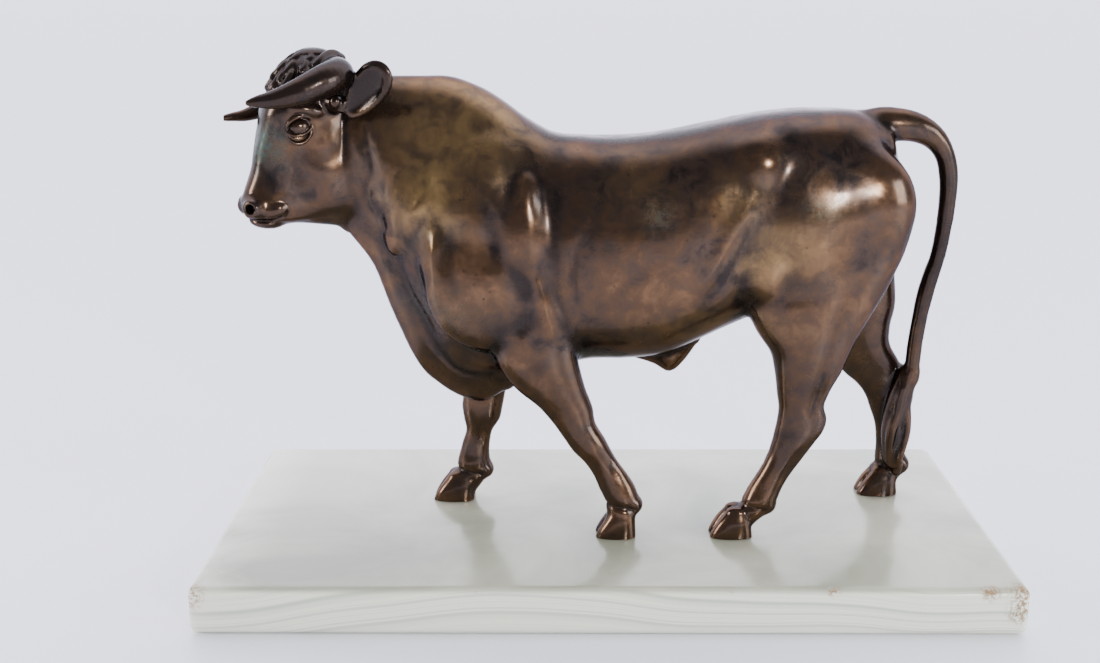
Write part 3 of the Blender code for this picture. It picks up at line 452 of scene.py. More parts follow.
def ear_axes(side):
    """The ear's middle, and its axes as columns: along it, the way it faces, and across it."""
    length = np.array((-10.4, 13.0 * side, 17.6 + 1.0 * side))
    length /= np.linalg.norm(length)
    facing = np.array((0.46, 0.88 * side, 0.12))
    facing -= (facing @ length) * length
    facing /= np.linalg.norm(facing)
    middle = np.array((-7.4, side * 24.4, 173.6 + 0.8 * side))
    return middle, np.column_stack((length, facing, np.cross(length, facing)))


def ear_leaf(side, forward, radii, blend):
    """One leaf-shaped form along the ear, moved along the way that the ear faces."""
    middle, axes = ear_axes(side)
    return Ball(middle + forward * axes[:, 1], radii, blend, frame=HEAD, axes=axes, taper=0.3)


# The crown of the poll: how far forward it lies in the head's frame, and its height
CROWN_AT = 7.6
CROWN_HIGH = 187.8
# The steps along one curl: how far out it goes, how it swings, and its share of the thickness
CURL_STEPS = ((-2.0, 0.0, 0.5), (0, 0.16, 0.9), (1.9, 0.12, 1.0), (2.8, -0.1, 0.9), (1.6, -0.26, 0.55))
# The rings of curls on the poll: distance from the crown, curls in the ring, and their thickness
POLL_RINGS = ((1.6, 3, 1.5), (5.2, 7, 1.6), (9.2, 11, 1.6), (12.6, 13, 1.5))
# The forehead's rows of locks: how far forward and how high the first lies, how much further
# forward and lower each next one
FOREHEAD_ROWS = 9
FOREHEAD_AT, FOREHEAD_SLOPE = 22.2, 0.85
FOREHEAD_HIGH, FOREHEAD_DROP = 178, 3.4


def poll_height(forward, aside):
    """Height of the poll's dome in the head's frame."""
    return CROWN_HIGH - 0.052 * (forward - CROWN_AT) ** 2 - 0.042 * aside ** 2


def curl(ring, around, thick):
    """One hooked curl on the poll: how far it starts from the crown, its bearing, its thickness."""
    rows = []
    for out, swing, swell in CURL_STEPS:
        reach = ring + out
        bearing = around + swing * 5 / (ring + 2.5)
        forward, aside = CROWN_AT + 1.05 * reach * math.cos(bearing), reach * math.sin(bearing)
        rows.append((forward, aside, poll_height(forward, aside) + 0.1 * thick, thick * swell))
    return Strand(rows, 0.5, HEAD, 3)


def poll_hair():
    """The curly tuft on the poll and the locks that run down the forehead."""
    yield Ball((CROWN_AT, 0, 181.6), (10.4, 11, 5.0), 2.5, (0, -4, 0), HEAD)
    yield Strand([
        (9.6, 15, 183.6, 1.2), (5.6, 13, 185.8, 2.0), (1.4, 10, 187.0, 2.2), (-3.2, 6, 185.6, 1.6),
    ], 1.4, HEAD)
    for number, (ring, count, thick) in enumerate(POLL_RINGS):
        for place in range(count):
            around = 2 * math.pi * (place + 0.5 * (number % 2)) / count
            yield curl(ring, around, thick * (1 + 0.14 * math.sin(5 * place + number)))
    for drop in range(FOREHEAD_ROWS):
        height = FOREHEAD_HIGH - FOREHEAD_DROP * drop
        for side in (-1, 0, 1):
            sway = 1.1 * math.sin(2.1 * drop + 1.3 * side)
            aside = side * (5.6 - 0.3 * drop) + sway
            forward = FOREHEAD_AT + FOREHEAD_SLOPE * (drop - 0.3) - 0.035 * aside ** 2
            yield Strand([
                (forward - 1.2, aside - 0.7, height + 2.6, 0.7),
                (forward, aside - 0.5, height + 0.8, 1.25),
                (forward + 0.2, aside + 0.7, height - 0.9, 1.2),
                (forward - 0.2, aside + 0.2, height - 2.4, 0.5),
            ], 0.8, HEAD, 3)


# The eye's place in the head's frame: how far forward, and the height of its lids' corners
EYE_AT, EYE_HIGH = 15.6, 161.4


def hollows():
    """The forms cut away: the ears' cups, the nostrils and the eye sockets."""
    for side in (-1, 1):
        yield ear_leaf(side, 2.6, (12.0, 2.5, 5.5), 0.6)
        yield Strand([
            (36.6, side * 11.6, 131.2, 1.9), (34.8, side * 8.2, 130.8, 2.0), (33.0, side * 5.0, 130.2, 1.5),
        ], 0.5, HEAD)
        yield Ball((EYE_AT, side * 15, 160.4), (5.8, 3.7, 5.4), 1.6, (0, 14, -6 * side), HEAD)


def lid(side, height, droop, thick, reach=4.8, depth=12.2):
    """One fold of the eye's lids or of the bag beneath it, from the front corner to the back."""
    rim = []
    for step in range(9):
        swing = math.pi * step / 8
        rim.append((EYE_AT + reach * math.cos(swing), side * (depth + 1.5 * math.sin(swing)),
                    EYE_HIGH - 0.9 * math.cos(swing) + height * math.sin(swing) + droop,
                    thick * (0.55 + 0.45 * math.sin(swing))))
    return Strand(rim, 0.5, HEAD, 3)


def eyes():
    """The eyeballs in their sockets, the folds of the lids, the bags, and the nostrils' rims."""
    for side in (-1, 1):
        yield Ball((EYE_AT, side * 10.6, 161.0), (4.5, 3.6, 3.5), 0.2, (0, 10, -8 * side), HEAD)
        yield lid(side, 3.6, 0.1, 0.85)
        yield lid(side, -3.1, -0.2, 0.65)
        yield lid(side, -5.9, -0.5, 0.7, 4.9, 12.2)
        yield Strand([
            (36.2, side * 4.6, 130.6, 0.5), (35.4, side * 6.0, 132.6, 0.6), (33.8, side * 8.1, 132.8, 0.6),
            (32.6, side * 8.9, 131.0, 0.5),
        ], 1.0, HEAD, 4)
        yield Ball((23.8, side * 8.8, 130.0), (2.8, 1.8, 2.2), 1.4, (0, 12, 0), HEAD)


# Lines worked on both sides of the body's side view: the line's points, its width and its height,
# below the surface if negative, and for some the side, the frame and how soon the line fades
STROKES = (
    # Dewlap edge, throat fold and the folds of the neck
    ([(-91.5, 158), (-90, 147), (-91, 134), (-84, 123), (-79, 110), (-77, 98), (-71, 86), (-65, 73),
      (-58, 65), (-49, 63), (-40, 65)], 2.2, -0.9, 0, BODY, 0.2),
    ([(-67, 140), (-71, 130), (-76, 119)], 3.0, 1.3),
    ([(-62.5, 124), (-65, 113), (-64, 101)], 1.8, 0.9),
    ([(-57, 128), (-58, 114), (-57, 100), (-60, 90)], 3.0, -0.9),
    # Shoulder: the groove before its rear edge, the hollow over the elbow and its rim
    ([(-47, 141), (-43, 126), (-42, 109)], 3.6, -0.9),
    ([(-36, 116), (-32.6, 106), (-30, 96)], 5.0, -0.9),
    ([(-30, 113), (-26.4, 105), (-24, 97), (-21.4, 88), (-19.6, 81)], 2.0, 1.1),
    ([(-24.6, 141), (-20, 127), (-18.6, 114), (-17.6, 100), (-13, 84)], 3.4, -0.6),
    ([(-32, 90), (-31, 84), (-26, 79.6), (-20.6, 83)], 2.4, -0.5),
    # Ribs and belly
    ([(-8.7, 124), (-12, 110), (-11.4, 101), (-8.7, 91)], 2.4, -0.7),
    ([(22, 114), (9, 104), (-3, 89)], 2.6, -0.35),
    # Flank folds, point of hip and stifle
    ([(64.6, 158), (65.2, 146), (65, 132), (65, 120)], 4.6, -0.4),
    ([(56, 140), (50, 128), (43, 114), (36, 100)], 3.4, 0.9),
    ([(56, 128), (48, 113), (41, 101), (36, 91)], 3.2, -0.9),
    ([(52, 111), (50.6, 99), (54, 89)], 2.6, -0.5),
    # Thigh, and the near and far gaskin and hock
    ([(60, 95), (74, 97), (86, 98.5)], 2.2, -0.25),
    ([(84.6, 72), (82.6, 62), (80.6, 54), (79.4, 47)], 1.5, -0.9, -1),
    ([(122, 70), (124, 60), (124.4, 50)], 1.5, -0.9, 1),
)
# The middles of the creases over the hooves, and the lines of the cannons' tendons, each with its side
HOOF_CREASES = ((6.6, -1), (-55.6, 1), (58.4, -1), (122.6, 1))
TENDONS = (
    ([(-3, 37), (2, 30), (6.4, 22)], -1), ([(78.6, 38), (73, 30), (67, 21)], -1),
    ([(-47.4, 36), (-50.6, 28), (-51.6, 20)], 1), ([(126, 37), (125, 28), (124.6, 20)], 1),
)
# The mouth, the edge of the jaw and the hollow of the cheek, on the head's side view
FACE_STROKES = (
    ([(35.6, 126.6), (31.4, 125.6), (26.6, 125.8), (22.4, 127.6)], 0.8, -0.8, 0, HEAD, 0.15),
    ([(-3.4, 164), (-4.8, 154), (-6.0, 144), (-5.0, 134)], 2.8, 0.9, 0, HEAD),
    ([(-7.6, 164), (-9.0, 155), (-10.2, 144), (-9.6, 134)], 1.6, -0.9, 0, HEAD),
    ([(22, 151), (14, 141), (4, 136)], 3.0, -0.7, 0, HEAD),
)


def strokes():
    """Every fold, vein and crease, in the order in which they are worked."""
    for stroke in STROKES:
        yield Stroke(*stroke)
    for x, side in HOOF_CREASES:
        yield Stroke([(x - 6.6, 13.6), (x, 12.6), (x + 6.2, 11.2)], 1.1, -0.6, side, fade=0.1)
    for line, side in TENDONS:
        yield Stroke(line, 1.3, -0.7, side)
    for stroke in FACE_STROKES:
        yield Stroke(*stroke)


def all_masses():
    """Every form of the casting in the order in which they are joined."""
    yield from trunk()
    for side in (-1, 1):
        yield from muscles(side)
    for rows in (NEAR_FORE, FAR_FORE, NEAR_HIND, FAR_HIND):
        yield Sweep("Z", rows, (2, 10), 3.2)
    for footing in HOOVES:
        yield from hoof(*footing)
    yield from skull()
    yield from tail()
    yield from ears()
    yield from horns()
    yield from poll_hair()


class Casting:
    """The whole surface: forms melted into each other, hollows cut, and lines worked in."""

    def __init__(self):
        self.forms = [(form, 1) for form in all_masses()]
        self.forms += [(form, -1) for form in hollows()]
        self.forms += [(form, 1) for form in eyes()]
        self.lines = list(strokes())
        margins = np.array([form.blend + NEARBY for form, _ in self.forms])[:, None]
        corners = [form.corners() for form, _ in self.forms]
        self.lows = np.array([low for low, _ in corners]) - margins
        self.highs = np.array([high for _, high in corners]) + margins
        self.framed = np.array([form.frame is HEAD for form, _ in self.forms])

    def near_forms(self, points, in_frame):
        """The forms whose boxes reach this batch of points."""
        least = np.where(self.framed[:, None], in_frame[HEAD].min(0), points.min(0))
        most = np.where(self.framed[:, None], in_frame[HEAD].max(0), points.max(0))
        return np.flatnonzero(((most > self.lows) & (least < self.highs)).all(1))

    def field(self, points):
        """How far each point is outside the surface, negative within it."""
        in_frame = {BODY: points, HEAD: HEAD.inward(points)}
        total = np.full(len(points), FAR_OUTSIDE)
        for number in self.near_forms(points, in_frame):
            form, sense = self.forms[number]
            local = in_frame[form.frame]
            close = ((local > self.lows[number]) & (local < self.highs[number])).all(1)
            if not close.any():
                continue
            gap = sense * form.field(local[close])
            before = total[close]
            share = np.clip(0.5 + 0.5 * sense * (before - gap) / form.blend, 0, 1)
            melt = sense * form.blend * share * (1 - share)
            total[close] = before + share * (gap - before) - melt
        for line in self.lines:
            local = in_frame[line.frame]
            reach = 3 * line.width
            flat = local[:, (0, 2)]
            close = ((flat > line.path.min(0) - reach) & (flat < line.path.max(0) + reach)).all(1)
            if close.any():
                total[close] += line.field(local[close], MIDLINE if line.frame is BODY else 0.0)
        return total

    def by_block(self, work, points):
        """The results of some work done on all points, a batch of neighbours at a time."""
        order = np.lexsort(np.floor(points / BLOCK).T)
        batches = np.array_split(order, max(1, len(points) // BATCH))
        done = [work(points[batch]) for batch in batches]
        result = np.empty((len(points),) + done[0].shape[1:])
        for batch, part in zip(batches, done):
            result[batch] = part
        return result

    def sampled(self, points):
        """The field at many points."""
        return self.by_block(self.field, points)

    def settled(self, points, rounds=2):
        """Many points moved onto the surface."""
        return self.by_block(lambda batch: self.settle_batch(batch, rounds), points)

    def settle_batch(self, points, rounds):
        """Move points onto the surface along the field's slope."""
        slope = np.empty_like(points)
        for turn in range(rounds):
            here = self.field(points)
            for axis in range(3) if turn % 2 == 0 else ():
                ahead = points.copy()
                ahead[:, axis] += SLOPE_STEP
                slope[:, axis] = (self.field(ahead) - here) / SLOPE_STEP
            steep = np.maximum((slope ** 2).sum(1), LEAST_STEEP)
            move = -(here / steep)[:, None] * slope
            length = np.linalg.norm(move, axis=1, keepdims=True)
            points = points + move * np.minimum(1, LONGEST_MOVE / np.maximum(length, 1e-9))
        return points


def neighbour_mean(values, edges):
    """The mean over each point's neighbours."""
    total = np.zeros_like(values)
    count = np.zeros(len(values))
    for a, b in ((0, 1), (1, 0)):
        for column in range(values.shape[1]):
            total[:, column] += np.bincount(edges[:, a], values[edges[:, b], column], len(values))
        count += np.bincount(edges[:, a], minlength=len(values))
    return total / np.maximum(count, 1)[:, None]


def read_out(parts, name, width, kind):
    """One value of each of a mesh's parts, as the rows of an array."""
    values = np.empty(len(parts) * width, dtype=kind)
    parts.foreach_get(name, values)
    return values.reshape(-1, width)


# Where the head begins in its own frame, upwards and forwards, and the height of the hooves and
# the place of the tuft on the body
JAW_LOW, NAPE_AT = 119, -18
HOOF_HIGH = 14
TUFT_FRONT, TUFT_HIGH = 116, 58
# The parts worked finest, in the head's frame: the eye's middle, its reach and how far out it
# starts, then the muzzle, the poll and the forehead, each from and to along the frame's axes
EYE_MIDDLE, EYE_REACH, EYE_OUT = (EYE_AT, 159.6), 9.4, 9
FINEST = (
    ((19, -1, 122), (99, 99, 137)), ((-4, -1, 180), (32, 12, 299)), ((19.5, -1, 147), (32, 8.5, 299)),
)


def on_head(points):
    """Head, horns, ears and poll."""
    local = HEAD.inward(points)
    return (local[:, 2] > JAW_LOW) & (local[:, 0] > NAPE_AT)


def on_small_parts(points):
    """Head, hooves and tuft: what is worked at half the body's grain."""
    on_tuft = (points[:, 0] > TUFT_FRONT) & (points[:, 2] < TUFT_HIGH)
    return on_head(points) | (points[:, 2] < HOOF_HIGH) | on_tuft


def on_finest_parts(points):
    """Eyes, muzzle and the hair of the poll and forehead: what is worked at a quarter of the grain."""
    local = HEAD.inward(points)
    local[:, 1] = np.abs(local[:, 1])
    found = ((local[:, (0, 2)] - EYE_MIDDLE) ** 2).sum(1) < EYE_REACH ** 2
    found &= local[:, 1] > EYE_OUT
    for low, high in FINEST:
        found |= ((local > low) & (local < high)).all(1)
    return found


# The eight corners of a cell of size one
CORNERS = np.array([(x, y, z) for x in (0, 1) for y in (0, 1) for z in (0, 1)])
# The space that is parted into cells, in parts, with a margin below the soles
SPACE_LOW, SPACE_HIGH = (-160, -85), (160, 85, 200)
SPACE_MARGIN = 5
# The size of the coarsest cells in grains, and how many cells away the surface may seem
COARSEST = 8
CELL_REACH = 3


def keyed(cells):
    """One whole number for each cell or corner, from its place counted in the finest grain."""
    return (cells[..., 0] << 40) | (cells[..., 1] << 20) | cells[..., 2]


class Table:
    """Numbers or values found again by their cells' keys."""

    def __init__(self, cells, values):
        keys = keyed(cells)
        order = np.argsort(keys)
        self.keys = np.append(keys[order], np.iinfo(np.int64).max)
        self.values = np.append(values[order], -1)

    def find(self, cells):
        keys = keyed(cells)
        place = np.searchsorted(self.keys, keys)
        return np.where(self.keys[place] == keys, self.values[place], -1)


def distinct(cells):
    """Each of the cells or corners once."""
    return cells[np.unique(keyed(cells), return_index=True)[1]]


class Skin:
    """A closed skin drawn through cells laid across the casting's surface.

    The cells are coarse on the body, half as large on small parts, and a quarter on the finest.
    Each edge of a cell that crosses the surface gives one face between the cells around it.
    """

    def __init__(self, casting):
        self.casting = casting
        self.low = casting.lows.min(0) - SPACE_MARGIN
        self.low[:2] = SPACE_LOW
        self.levels = []
        self.lay_cells()
        self.draw_faces()

    def places(self, corners):
        return self.low + corners * GRAIN

    def lay_cells(self):
        """Part the space into cells, keeping those near the surface."""
        span = np.ceil((np.array(SPACE_HIGH) - self.low) / (COARSEST * GRAIN)).astype(int)
        steps = (np.arange(count) * COARSEST for count in span)
        cells = np.stack(np.meshgrid(*steps, indexing="ij"), -1).reshape(-1, 3)
        finer = (everywhere, on_small_parts, on_finest_parts, nowhere)
        for size, finer_at in zip((COARSEST, 4, 2, 1), finer):
            middles = self.places(cells + size / 2)
            near = np.abs(self.casting.sampled(middles)) < CELL_REACH * size * GRAIN
            cells, middles = cells[near], middles[near]
            parted = finer_at(middles)
            self.levels.append((size, cells[~parted]))
            cells = (cells[parted][:, None] + CORNERS * (size // 2)).reshape(-1, 3)

    def draw_faces(self):
        """Gather the faces, and each cell's vertex as the mean of the crossings around it."""
        count = 0
        tables = []
        for size, cells in self.levels:
            tables.append(Table(cells, count + np.arange(len(cells))))
            count += len(cells)
        corners = distinct(np.concatenate([
            (cells[:, None] + CORNERS * size).reshape(-1, 3) for size, cells in self.levels]))
        heights = Table(corners, self.casting.sampled(self.places(corners)))
        totals, shares, faces = np.zeros((count, 3)), np.zeros(count), []
        for level, (size, cells) in enumerate(self.levels):
            for axis in range(3):
                along, one, other = (size * np.eye(3, dtype=int)[(axis + turn) % 3] for turn in range(3))
                around = np.array((0 * one, one, one + other, other))
                starts = distinct((cells[:, None] + around).reshape(-1, 3))
                first, last = heights.find(starts), heights.find(starts + along)
                crossing = (first < 0) != (last < 0)
                starts, first, last = starts[crossing], first[crossing], last[crossing]
                owners = np.full((len(starts), 4), -1)
                for bigger in range(level + 1):
                    unit = self.levels[bigger][0]
                    cell = (starts[:, None] - (one + other) + around) // unit * unit
                    owners = np.maximum(owners, tables[bigger].find(cell).astype(int))
                whole = (owners >= 0).all(1)
                owners, first, last = owners[whole], first[whole], last[whole]
                met = self.places(starts[whole] + (first / (first - last))[:, None] * along)
                for column in range(4):
                    for part in range(3):
                        totals[:, part] += np.bincount(owners[:, column], met[:, part], count)
                    shares += np.bincount(owners[:, column], minlength=count)
                faces.append(np.where((first < 0)[:, None], owners, owners[:, ::-1]))
        used = shares > 0
        self.points = totals[used] / shares[used, None]
        self.faces = (np.cumsum(used) - 1)[np.concatenate(faces)]

    def mesh(self, name):
        """The skin as a mesh, where a face that touches one cell twice has three sides."""
        turned = np.roll(self.faces, -1, axis=1)
        faces = [face[keep].tolist() for face, keep in zip(self.faces, self.faces != turned)]
        mesh = bpy.data.meshes.new(name)
        mesh.from_pydata(self.points.tolist(), [], [face for face in faces if len(face) > 2])
        mesh.validate()
        return mesh


def everywhere(points):
    return np.ones(len(points), bool)


def nowhere(points):
    return np.zeros(len(points), bool)


# The unevenness of a surface worked by hand: the fineness of each swell, and its depth in parts
SWELLS = ((0.085, 0.16), (0.31, 0.05))


def hand_worked(points, normals):
    """The slight unevenness of a surface filed and chased by hand."""
    rise = np.zeros(len(points))
    for fine, depth in SWELLS:
        rise += depth * np.array([noise.noise(Vector(point) * fine) for point in points])
    return points + normals * rise[:, None]


# Rubbing, gilding and darkening of the patina on the body's side view: the place, the reach along X and Z,
# and the strength. The rubbing and gilding are partly wear and gold patina, partly painted highlights on
# the neck's fold, the shoulder's ridge and the stifle; the darkening is partly darker patina, partly
# painted shade on the top of the back and the rump.
RUBBED_AND_HIGHLIT = (
    (-85, 134, 12, 20, 0.7), (-51, 105, 22, 20, 0.45), (13, 106, 22, 20, 0.4), (74, 108, 22, 22, 0.6),
    (-67, 133, 9, 16, 0.6), (60, 108, 10, 10, 0.5), (47, 133, 12, 16, 0.5), (98, 120, 14, 18, 0.3),
    (-18, 118, 12, 30, 0.35), (-90, 150, 10, 10, 0.6), (-30, 66, 10, 14, 0.3), (-33, 126, 6, 14, 0.5),
)
# Gold patina, with painted highlights on the neck's fold and the stifle
GILDED_AND_HIGHLIT = (
    (-66, 140, 12, 18, 1.0), (-56, 158, 24, 16, 0.9), (66, 117, 14, 12, 0.5), (57, 110, 7, 10, 0.6),
    (50, 134, 9, 10, 0.4), (40, 84, 24, 7, 0.4), (-40, 150, 14, 10, 0.3), (10, 140, 12, 12, 0.2),
)
# Darker patina, with painted shade on the top of the back and the rump
DARKENED_AND_SHADED = (
    (24, 157, 54, 8, 0.6), (85, 160, 40, 10, 0.2), (111, 158, 22, 10, 0.35), (68, 142, 7, 20, 0.25),
    (-46, 84, 16, 8, 0.55), (-26, 71, 3.4, 3.4, 0.9), (20, 82, 34, 8, 0.2), (86, 84, 16, 14, 0.2),
    (-72, 88, 10, 30, 0.45), (118, 60, 16, 60, 0.6), (-55, 26, 20, 34, 0.3), (-60, 62, 26, 14, 0.4),
    (134, 110, 10, 60, 1.0), (72, 46, 26, 44, 0.4), (-8, 44, 26, 36, 0.3), (-97, 122, 10, 14, 0.3),
    (-20, 138, 30, 14, 0.45), (-32, 106, 5, 7, 0.4),
)
GREENED = (
    (19, 130, 5, 5, 0.35), (80, 131, 8, 4, 0.35), (-62, 92, 16, 9, 0.2),
)


def patched(points, patches):
    """How strongly a set of soft patches colours each place on the side view."""
    strength = np.zeros(len(points))
    for x, z, reach_x, reach_z, amount in patches:
        far = ((points[:, 0] - x) / reach_x) ** 2 + ((points[:, 2] - z) / reach_z) ** 2
        strength = np.maximum(strength, amount * np.exp(-far))
    return strength


# How many rounds of smoothing show the wide hollows, and how many the narrow grooves
WIDE_ROUNDS, NARROW_ROUNDS = 24, 4
# The head's patina, in the head's frame: the poll's and the muzzle's heights, and the forehead
POLL_LOW, MUZZLE_HIGH = 176, 133
FOREHEAD_FRONT, FOREHEAD_LOW, FOREHEAD_WIDE = 20, 148, 8


def sunken(points, normals, edges, rounds):
    """How deep each place lies below its surroundings, smoothed over some rounds."""
    smooth = points
    for _ in range(rounds):
        smooth = neighbour_mean(smooth, edges)
    return ((smooth - points) * normals).sum(1)


def write_patina(mesh, points, normals, edges):
    """Store each place's wear and painted highlight, its gold patina and painted highlight, its darker
    patina and painted shade, and its verdigris.
    """
    def soft(values, middle, reach):
        return ((values - middle) / reach) ** 2

    hollow = sunken(points, normals, edges, WIDE_ROUNDS)
    groove = sunken(points, normals, edges, NARROW_ROUNDS)
    # Lighter on the listed patches and on the bulges: partly wear, partly painted highlights on some
    # patches
    rubbed_and_highlit = patched(points, RUBBED_AND_HIGHLIT) + np.clip(-hollow * 0.7, 0, 0.5)
    # Darker on the listed patches, in grooves and in hollows: partly darker patina, partly painted shade
    grime_and_shade = patched(points, DARKENED_AND_SHADED) + np.clip(groove * 3, 0, 0.8) + np.clip(hollow * 0.25, 0, 0.3)
    green = patched(points, GREENED)
    # On the head: green down the near side of the nose, a dark crown and muzzle, creases darkened partly as
    # darker patina, partly as painted shade, and cheeks lightened partly by wear, partly as a painted
    # highlight
    a, b, h = HEAD.inward(points).T
    head = on_head(points)
    forehead = head & (a > FOREHEAD_FRONT) & (np.abs(b) < FOREHEAD_WIDE) & (h > FOREHEAD_LOW)
    creased = np.clip(groove * 5, 0, 0.9)
    green = np.where(head, np.exp(-soft(h, 155, 7) - soft(b, 4.5, 5.5)) * (a > FOREHEAD_FRONT), green)
    grime_and_shade = np.where(head, 0.15 + 0.7 * np.clip((h - 164) / 8, 0, 1) + creased, grime_and_shade)
    grime_and_shade = np.where(head & (h < MUZZLE_HIGH), 0.25 + creased, grime_and_shade)
    grime_and_shade = np.where(forehead & (h <= POLL_LOW), grime_and_shade + 0.15, grime_and_shade)
    rubbed_and_highlit = np.where(head, 0.35 + 0.5 * np.exp(-soft(a, 9, 9) - soft(h, 152, 10)), rubbed_and_highlit)
    layers = {"rubbed_and_highlit": rubbed_and_highlit, "gilded_and_highlit": patched(points, GILDED_AND_HIGHLIT), "grime_and_shade": grime_and_shade, "verdigris": green}
    for name, values in layers.items():
        layer = mesh.attributes.new(name, "FLOAT", "POINT")
        layer.data.foreach_set("value", np.clip(values, 0, 1).astype(np.float32))


def fit_to_box(points):
    """Keep the finest hair and hoof edges within the solid's own box."""
    low, high = (np.array(corner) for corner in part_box("bull"))
    base = np.array((0, 0, SOLE))
    return np.clip(points, (low - base) / PART, (high - base) / PART)


def placed(name, data):
    """A new object in the scene, at the origin and unturned."""
    made = bpy.data.objects.new(name, data)
    bpy.context.scene.collection.objects.link(made)
    return made


def mesh_from(form, name):
    """The mesh of a form that is done with."""
    mesh = bpy.data.meshes.new(name)
    form.to_mesh(mesh)
    form.free()
    return mesh


def cast_bull():
    """The finely worked casting, in place of its solid."""
    casting = Casting()
    skin = Skin(casting)
    mesh = skin.mesh("bronze_bull")
    edges = read_out(mesh.edges, "vertices", 2, int)
    points = casting.settled(skin.points)
    points = points + 0.5 * (neighbour_mean(points, edges) - points)
    points = fit_to_box(casting.settled(points, 1))
    mesh.vertices.foreach_set("co", points.ravel())
    mesh.update()
    normals = read_out(mesh.vertex_normals, "vector", 3, float)
    write_patina(mesh, points, normals, edges)
    points = hand_worked(points, normals)
    points[:, 2] = np.maximum(points[:, 2], 0.0)
    mesh.vertices.foreach_set("co", points.ravel())
    mesh.transform(Matrix.Translation((0, 0, SOLE)) @ Matrix.Scale(PART, 4))
    mesh.shade_smooth()
    mesh.materials.append(patinated_bronze())
    bull = placed("bronze_bull", mesh)
    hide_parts("bull")
    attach(bull, "root")


class Nodes:
    """The node tree of a material or of the world, with short ways to add and join its nodes."""

    def __init__(self, owner, shader="Principled BSDF", places="Object"):
        owner.use_nodes = True
        self.tree = owner.node_tree
        self.shader = self.tree.nodes[shader]
        self.places = self.add("TexCoord").outputs[places]

    def put(self, node, inputs):
        """Join an output to each input named, or write a plain value or a tone on it."""
        for name, value in inputs.items():
            socket = node.inputs[name]
            if isinstance(value, bpy.types.NodeSocket):
                self.tree.links.new(value, socket)
            elif isinstance(value, tuple) and len(socket.default_value) > len(value):
                socket.default_value = (*value, 1)
            else:
                socket.default_value = value

    def add(self, kind, inputs=None, **settings):
        """A node of one kind with its settings and its inputs."""
        node = self.tree.nodes.new("ShaderNode" + kind)
        for name, value in settings.items():
            setattr(node, name, value)
        self.put(node, inputs or {})
        return node

    def axes(self):
        """The three parts of each place."""
        return self.add("SeparateXYZ", {"Vector": self.places}).outputs

    def stretched(self, scale, turn=(0, 0, 0)):
        """The places, stretched and turned."""
        inputs = {"Vector": self.places, "Scale": scale, "Rotation": turn}
        return self.add("Mapping", inputs).outputs["Vector"]

    def noise(self, scale, detail=4.0, rough=0.55, twist=0.0, places=None):
        """Clouds, the finer the larger the scale."""
        inputs = {"Vector": places or self.places, "Scale": scale, "Detail": detail}
        inputs.update({"Roughness": rough, "Distortion": twist})
        return self.add("TexNoise", inputs).outputs["Fac"]

    def cells(self, scale):
        """How far each place is from the nearest of many scattered points."""
        return self.add("TexVoronoi", {"Vector": self.places, "Scale": scale}).outputs["Distance"]

    def ramp(self, value, *stops):
        """Tones along a value."""
        node = self.add("ValToRGB", {"Fac": value})
        while len(node.color_ramp.elements) < len(stops):
            node.color_ramp.elements.new(0.5)
        for element, (place, tone) in zip(node.color_ramp.elements, stops):
            element.position = place
            element.color = (*tone, 1)
        return node.outputs["Color"]

    def band(self, value, low, high, out_low=0.0, out_high=1.0):
        """A smooth change from one amount to another, between two bounds of a value."""
        inputs = {"Value": value, "From Min": low, "From Max": high, "To Min": out_low, "To Max": out_high}
        return self.add("MapRange", inputs, interpolation_type="SMOOTHSTEP").outputs["Result"]

    def sum(self, operation, first, second=0.0):
        """The sum, product or other outcome of two values."""
        return self.add("Math", {0: first, 1: second}, operation=operation).outputs["Value"]

    def blend(self, share, under, over):
        """Two tones mixed by a share."""
        return self.add("Mix", {0: share, 6: under, 7: over}, data_type="RGBA").outputs[2]

    def layer(self, name):
        """One layer of the patina stored on the mesh."""
        return self.add("Attribute", attribute_name=name).outputs["Fac"]

    def near(self, spots):
        """How near a place is to any of some spots, each with a reach."""
        nearest = None
        for *middle, reach in spots:
            inputs = {0: self.places, 1: tuple(middle)}
            away = self.add("VectorMath", inputs, operation="DISTANCE").outputs["Value"]
            here = self.band(away, 0.3 * reach, reach, 1.0, 0.0)
            nearest = here if nearest is None else self.sum("MAXIMUM", nearest, here)
        return nearest

    def relief(self, *layers):
        """Bumps on top of each other, each of a height and its depth in metres."""
        normal = {}
        for height, depth in layers:
            bump = self.add("Bump", {"Strength": 1.0, "Distance": depth, "Height": height, **normal})
            normal = {"Normal": bump.outputs["Normal"]}
        return normal


# Tones of the patina, from the darkest to the most polished by rubbing. The darkest also serves as painted
# shade in grooves and hollows, and copper and olive gold also serve as painted highlights.
UMBER = (0.022, 0.016, 0.014)
CHOCOLATE = (0.056, 0.036, 0.026)
CHESTNUT = (0.084, 0.046, 0.025)
COPPER = (0.138, 0.074, 0.038)
OLIVE_GOLD = (0.25, 0.16, 0.065)
SLATE = (0.034, 0.032, 0.036)
VERDIGRIS = (0.036, 0.070, 0.060)


# The sheen of the bronze where it is the same all over
BRONZE_SHEEN = {
    "Specular IOR Level": 0.3, "Specular Tint": (0.30, 0.28, 0.30),
    "Coat Weight": 0.15, "Coat Roughness": 0.13,
}


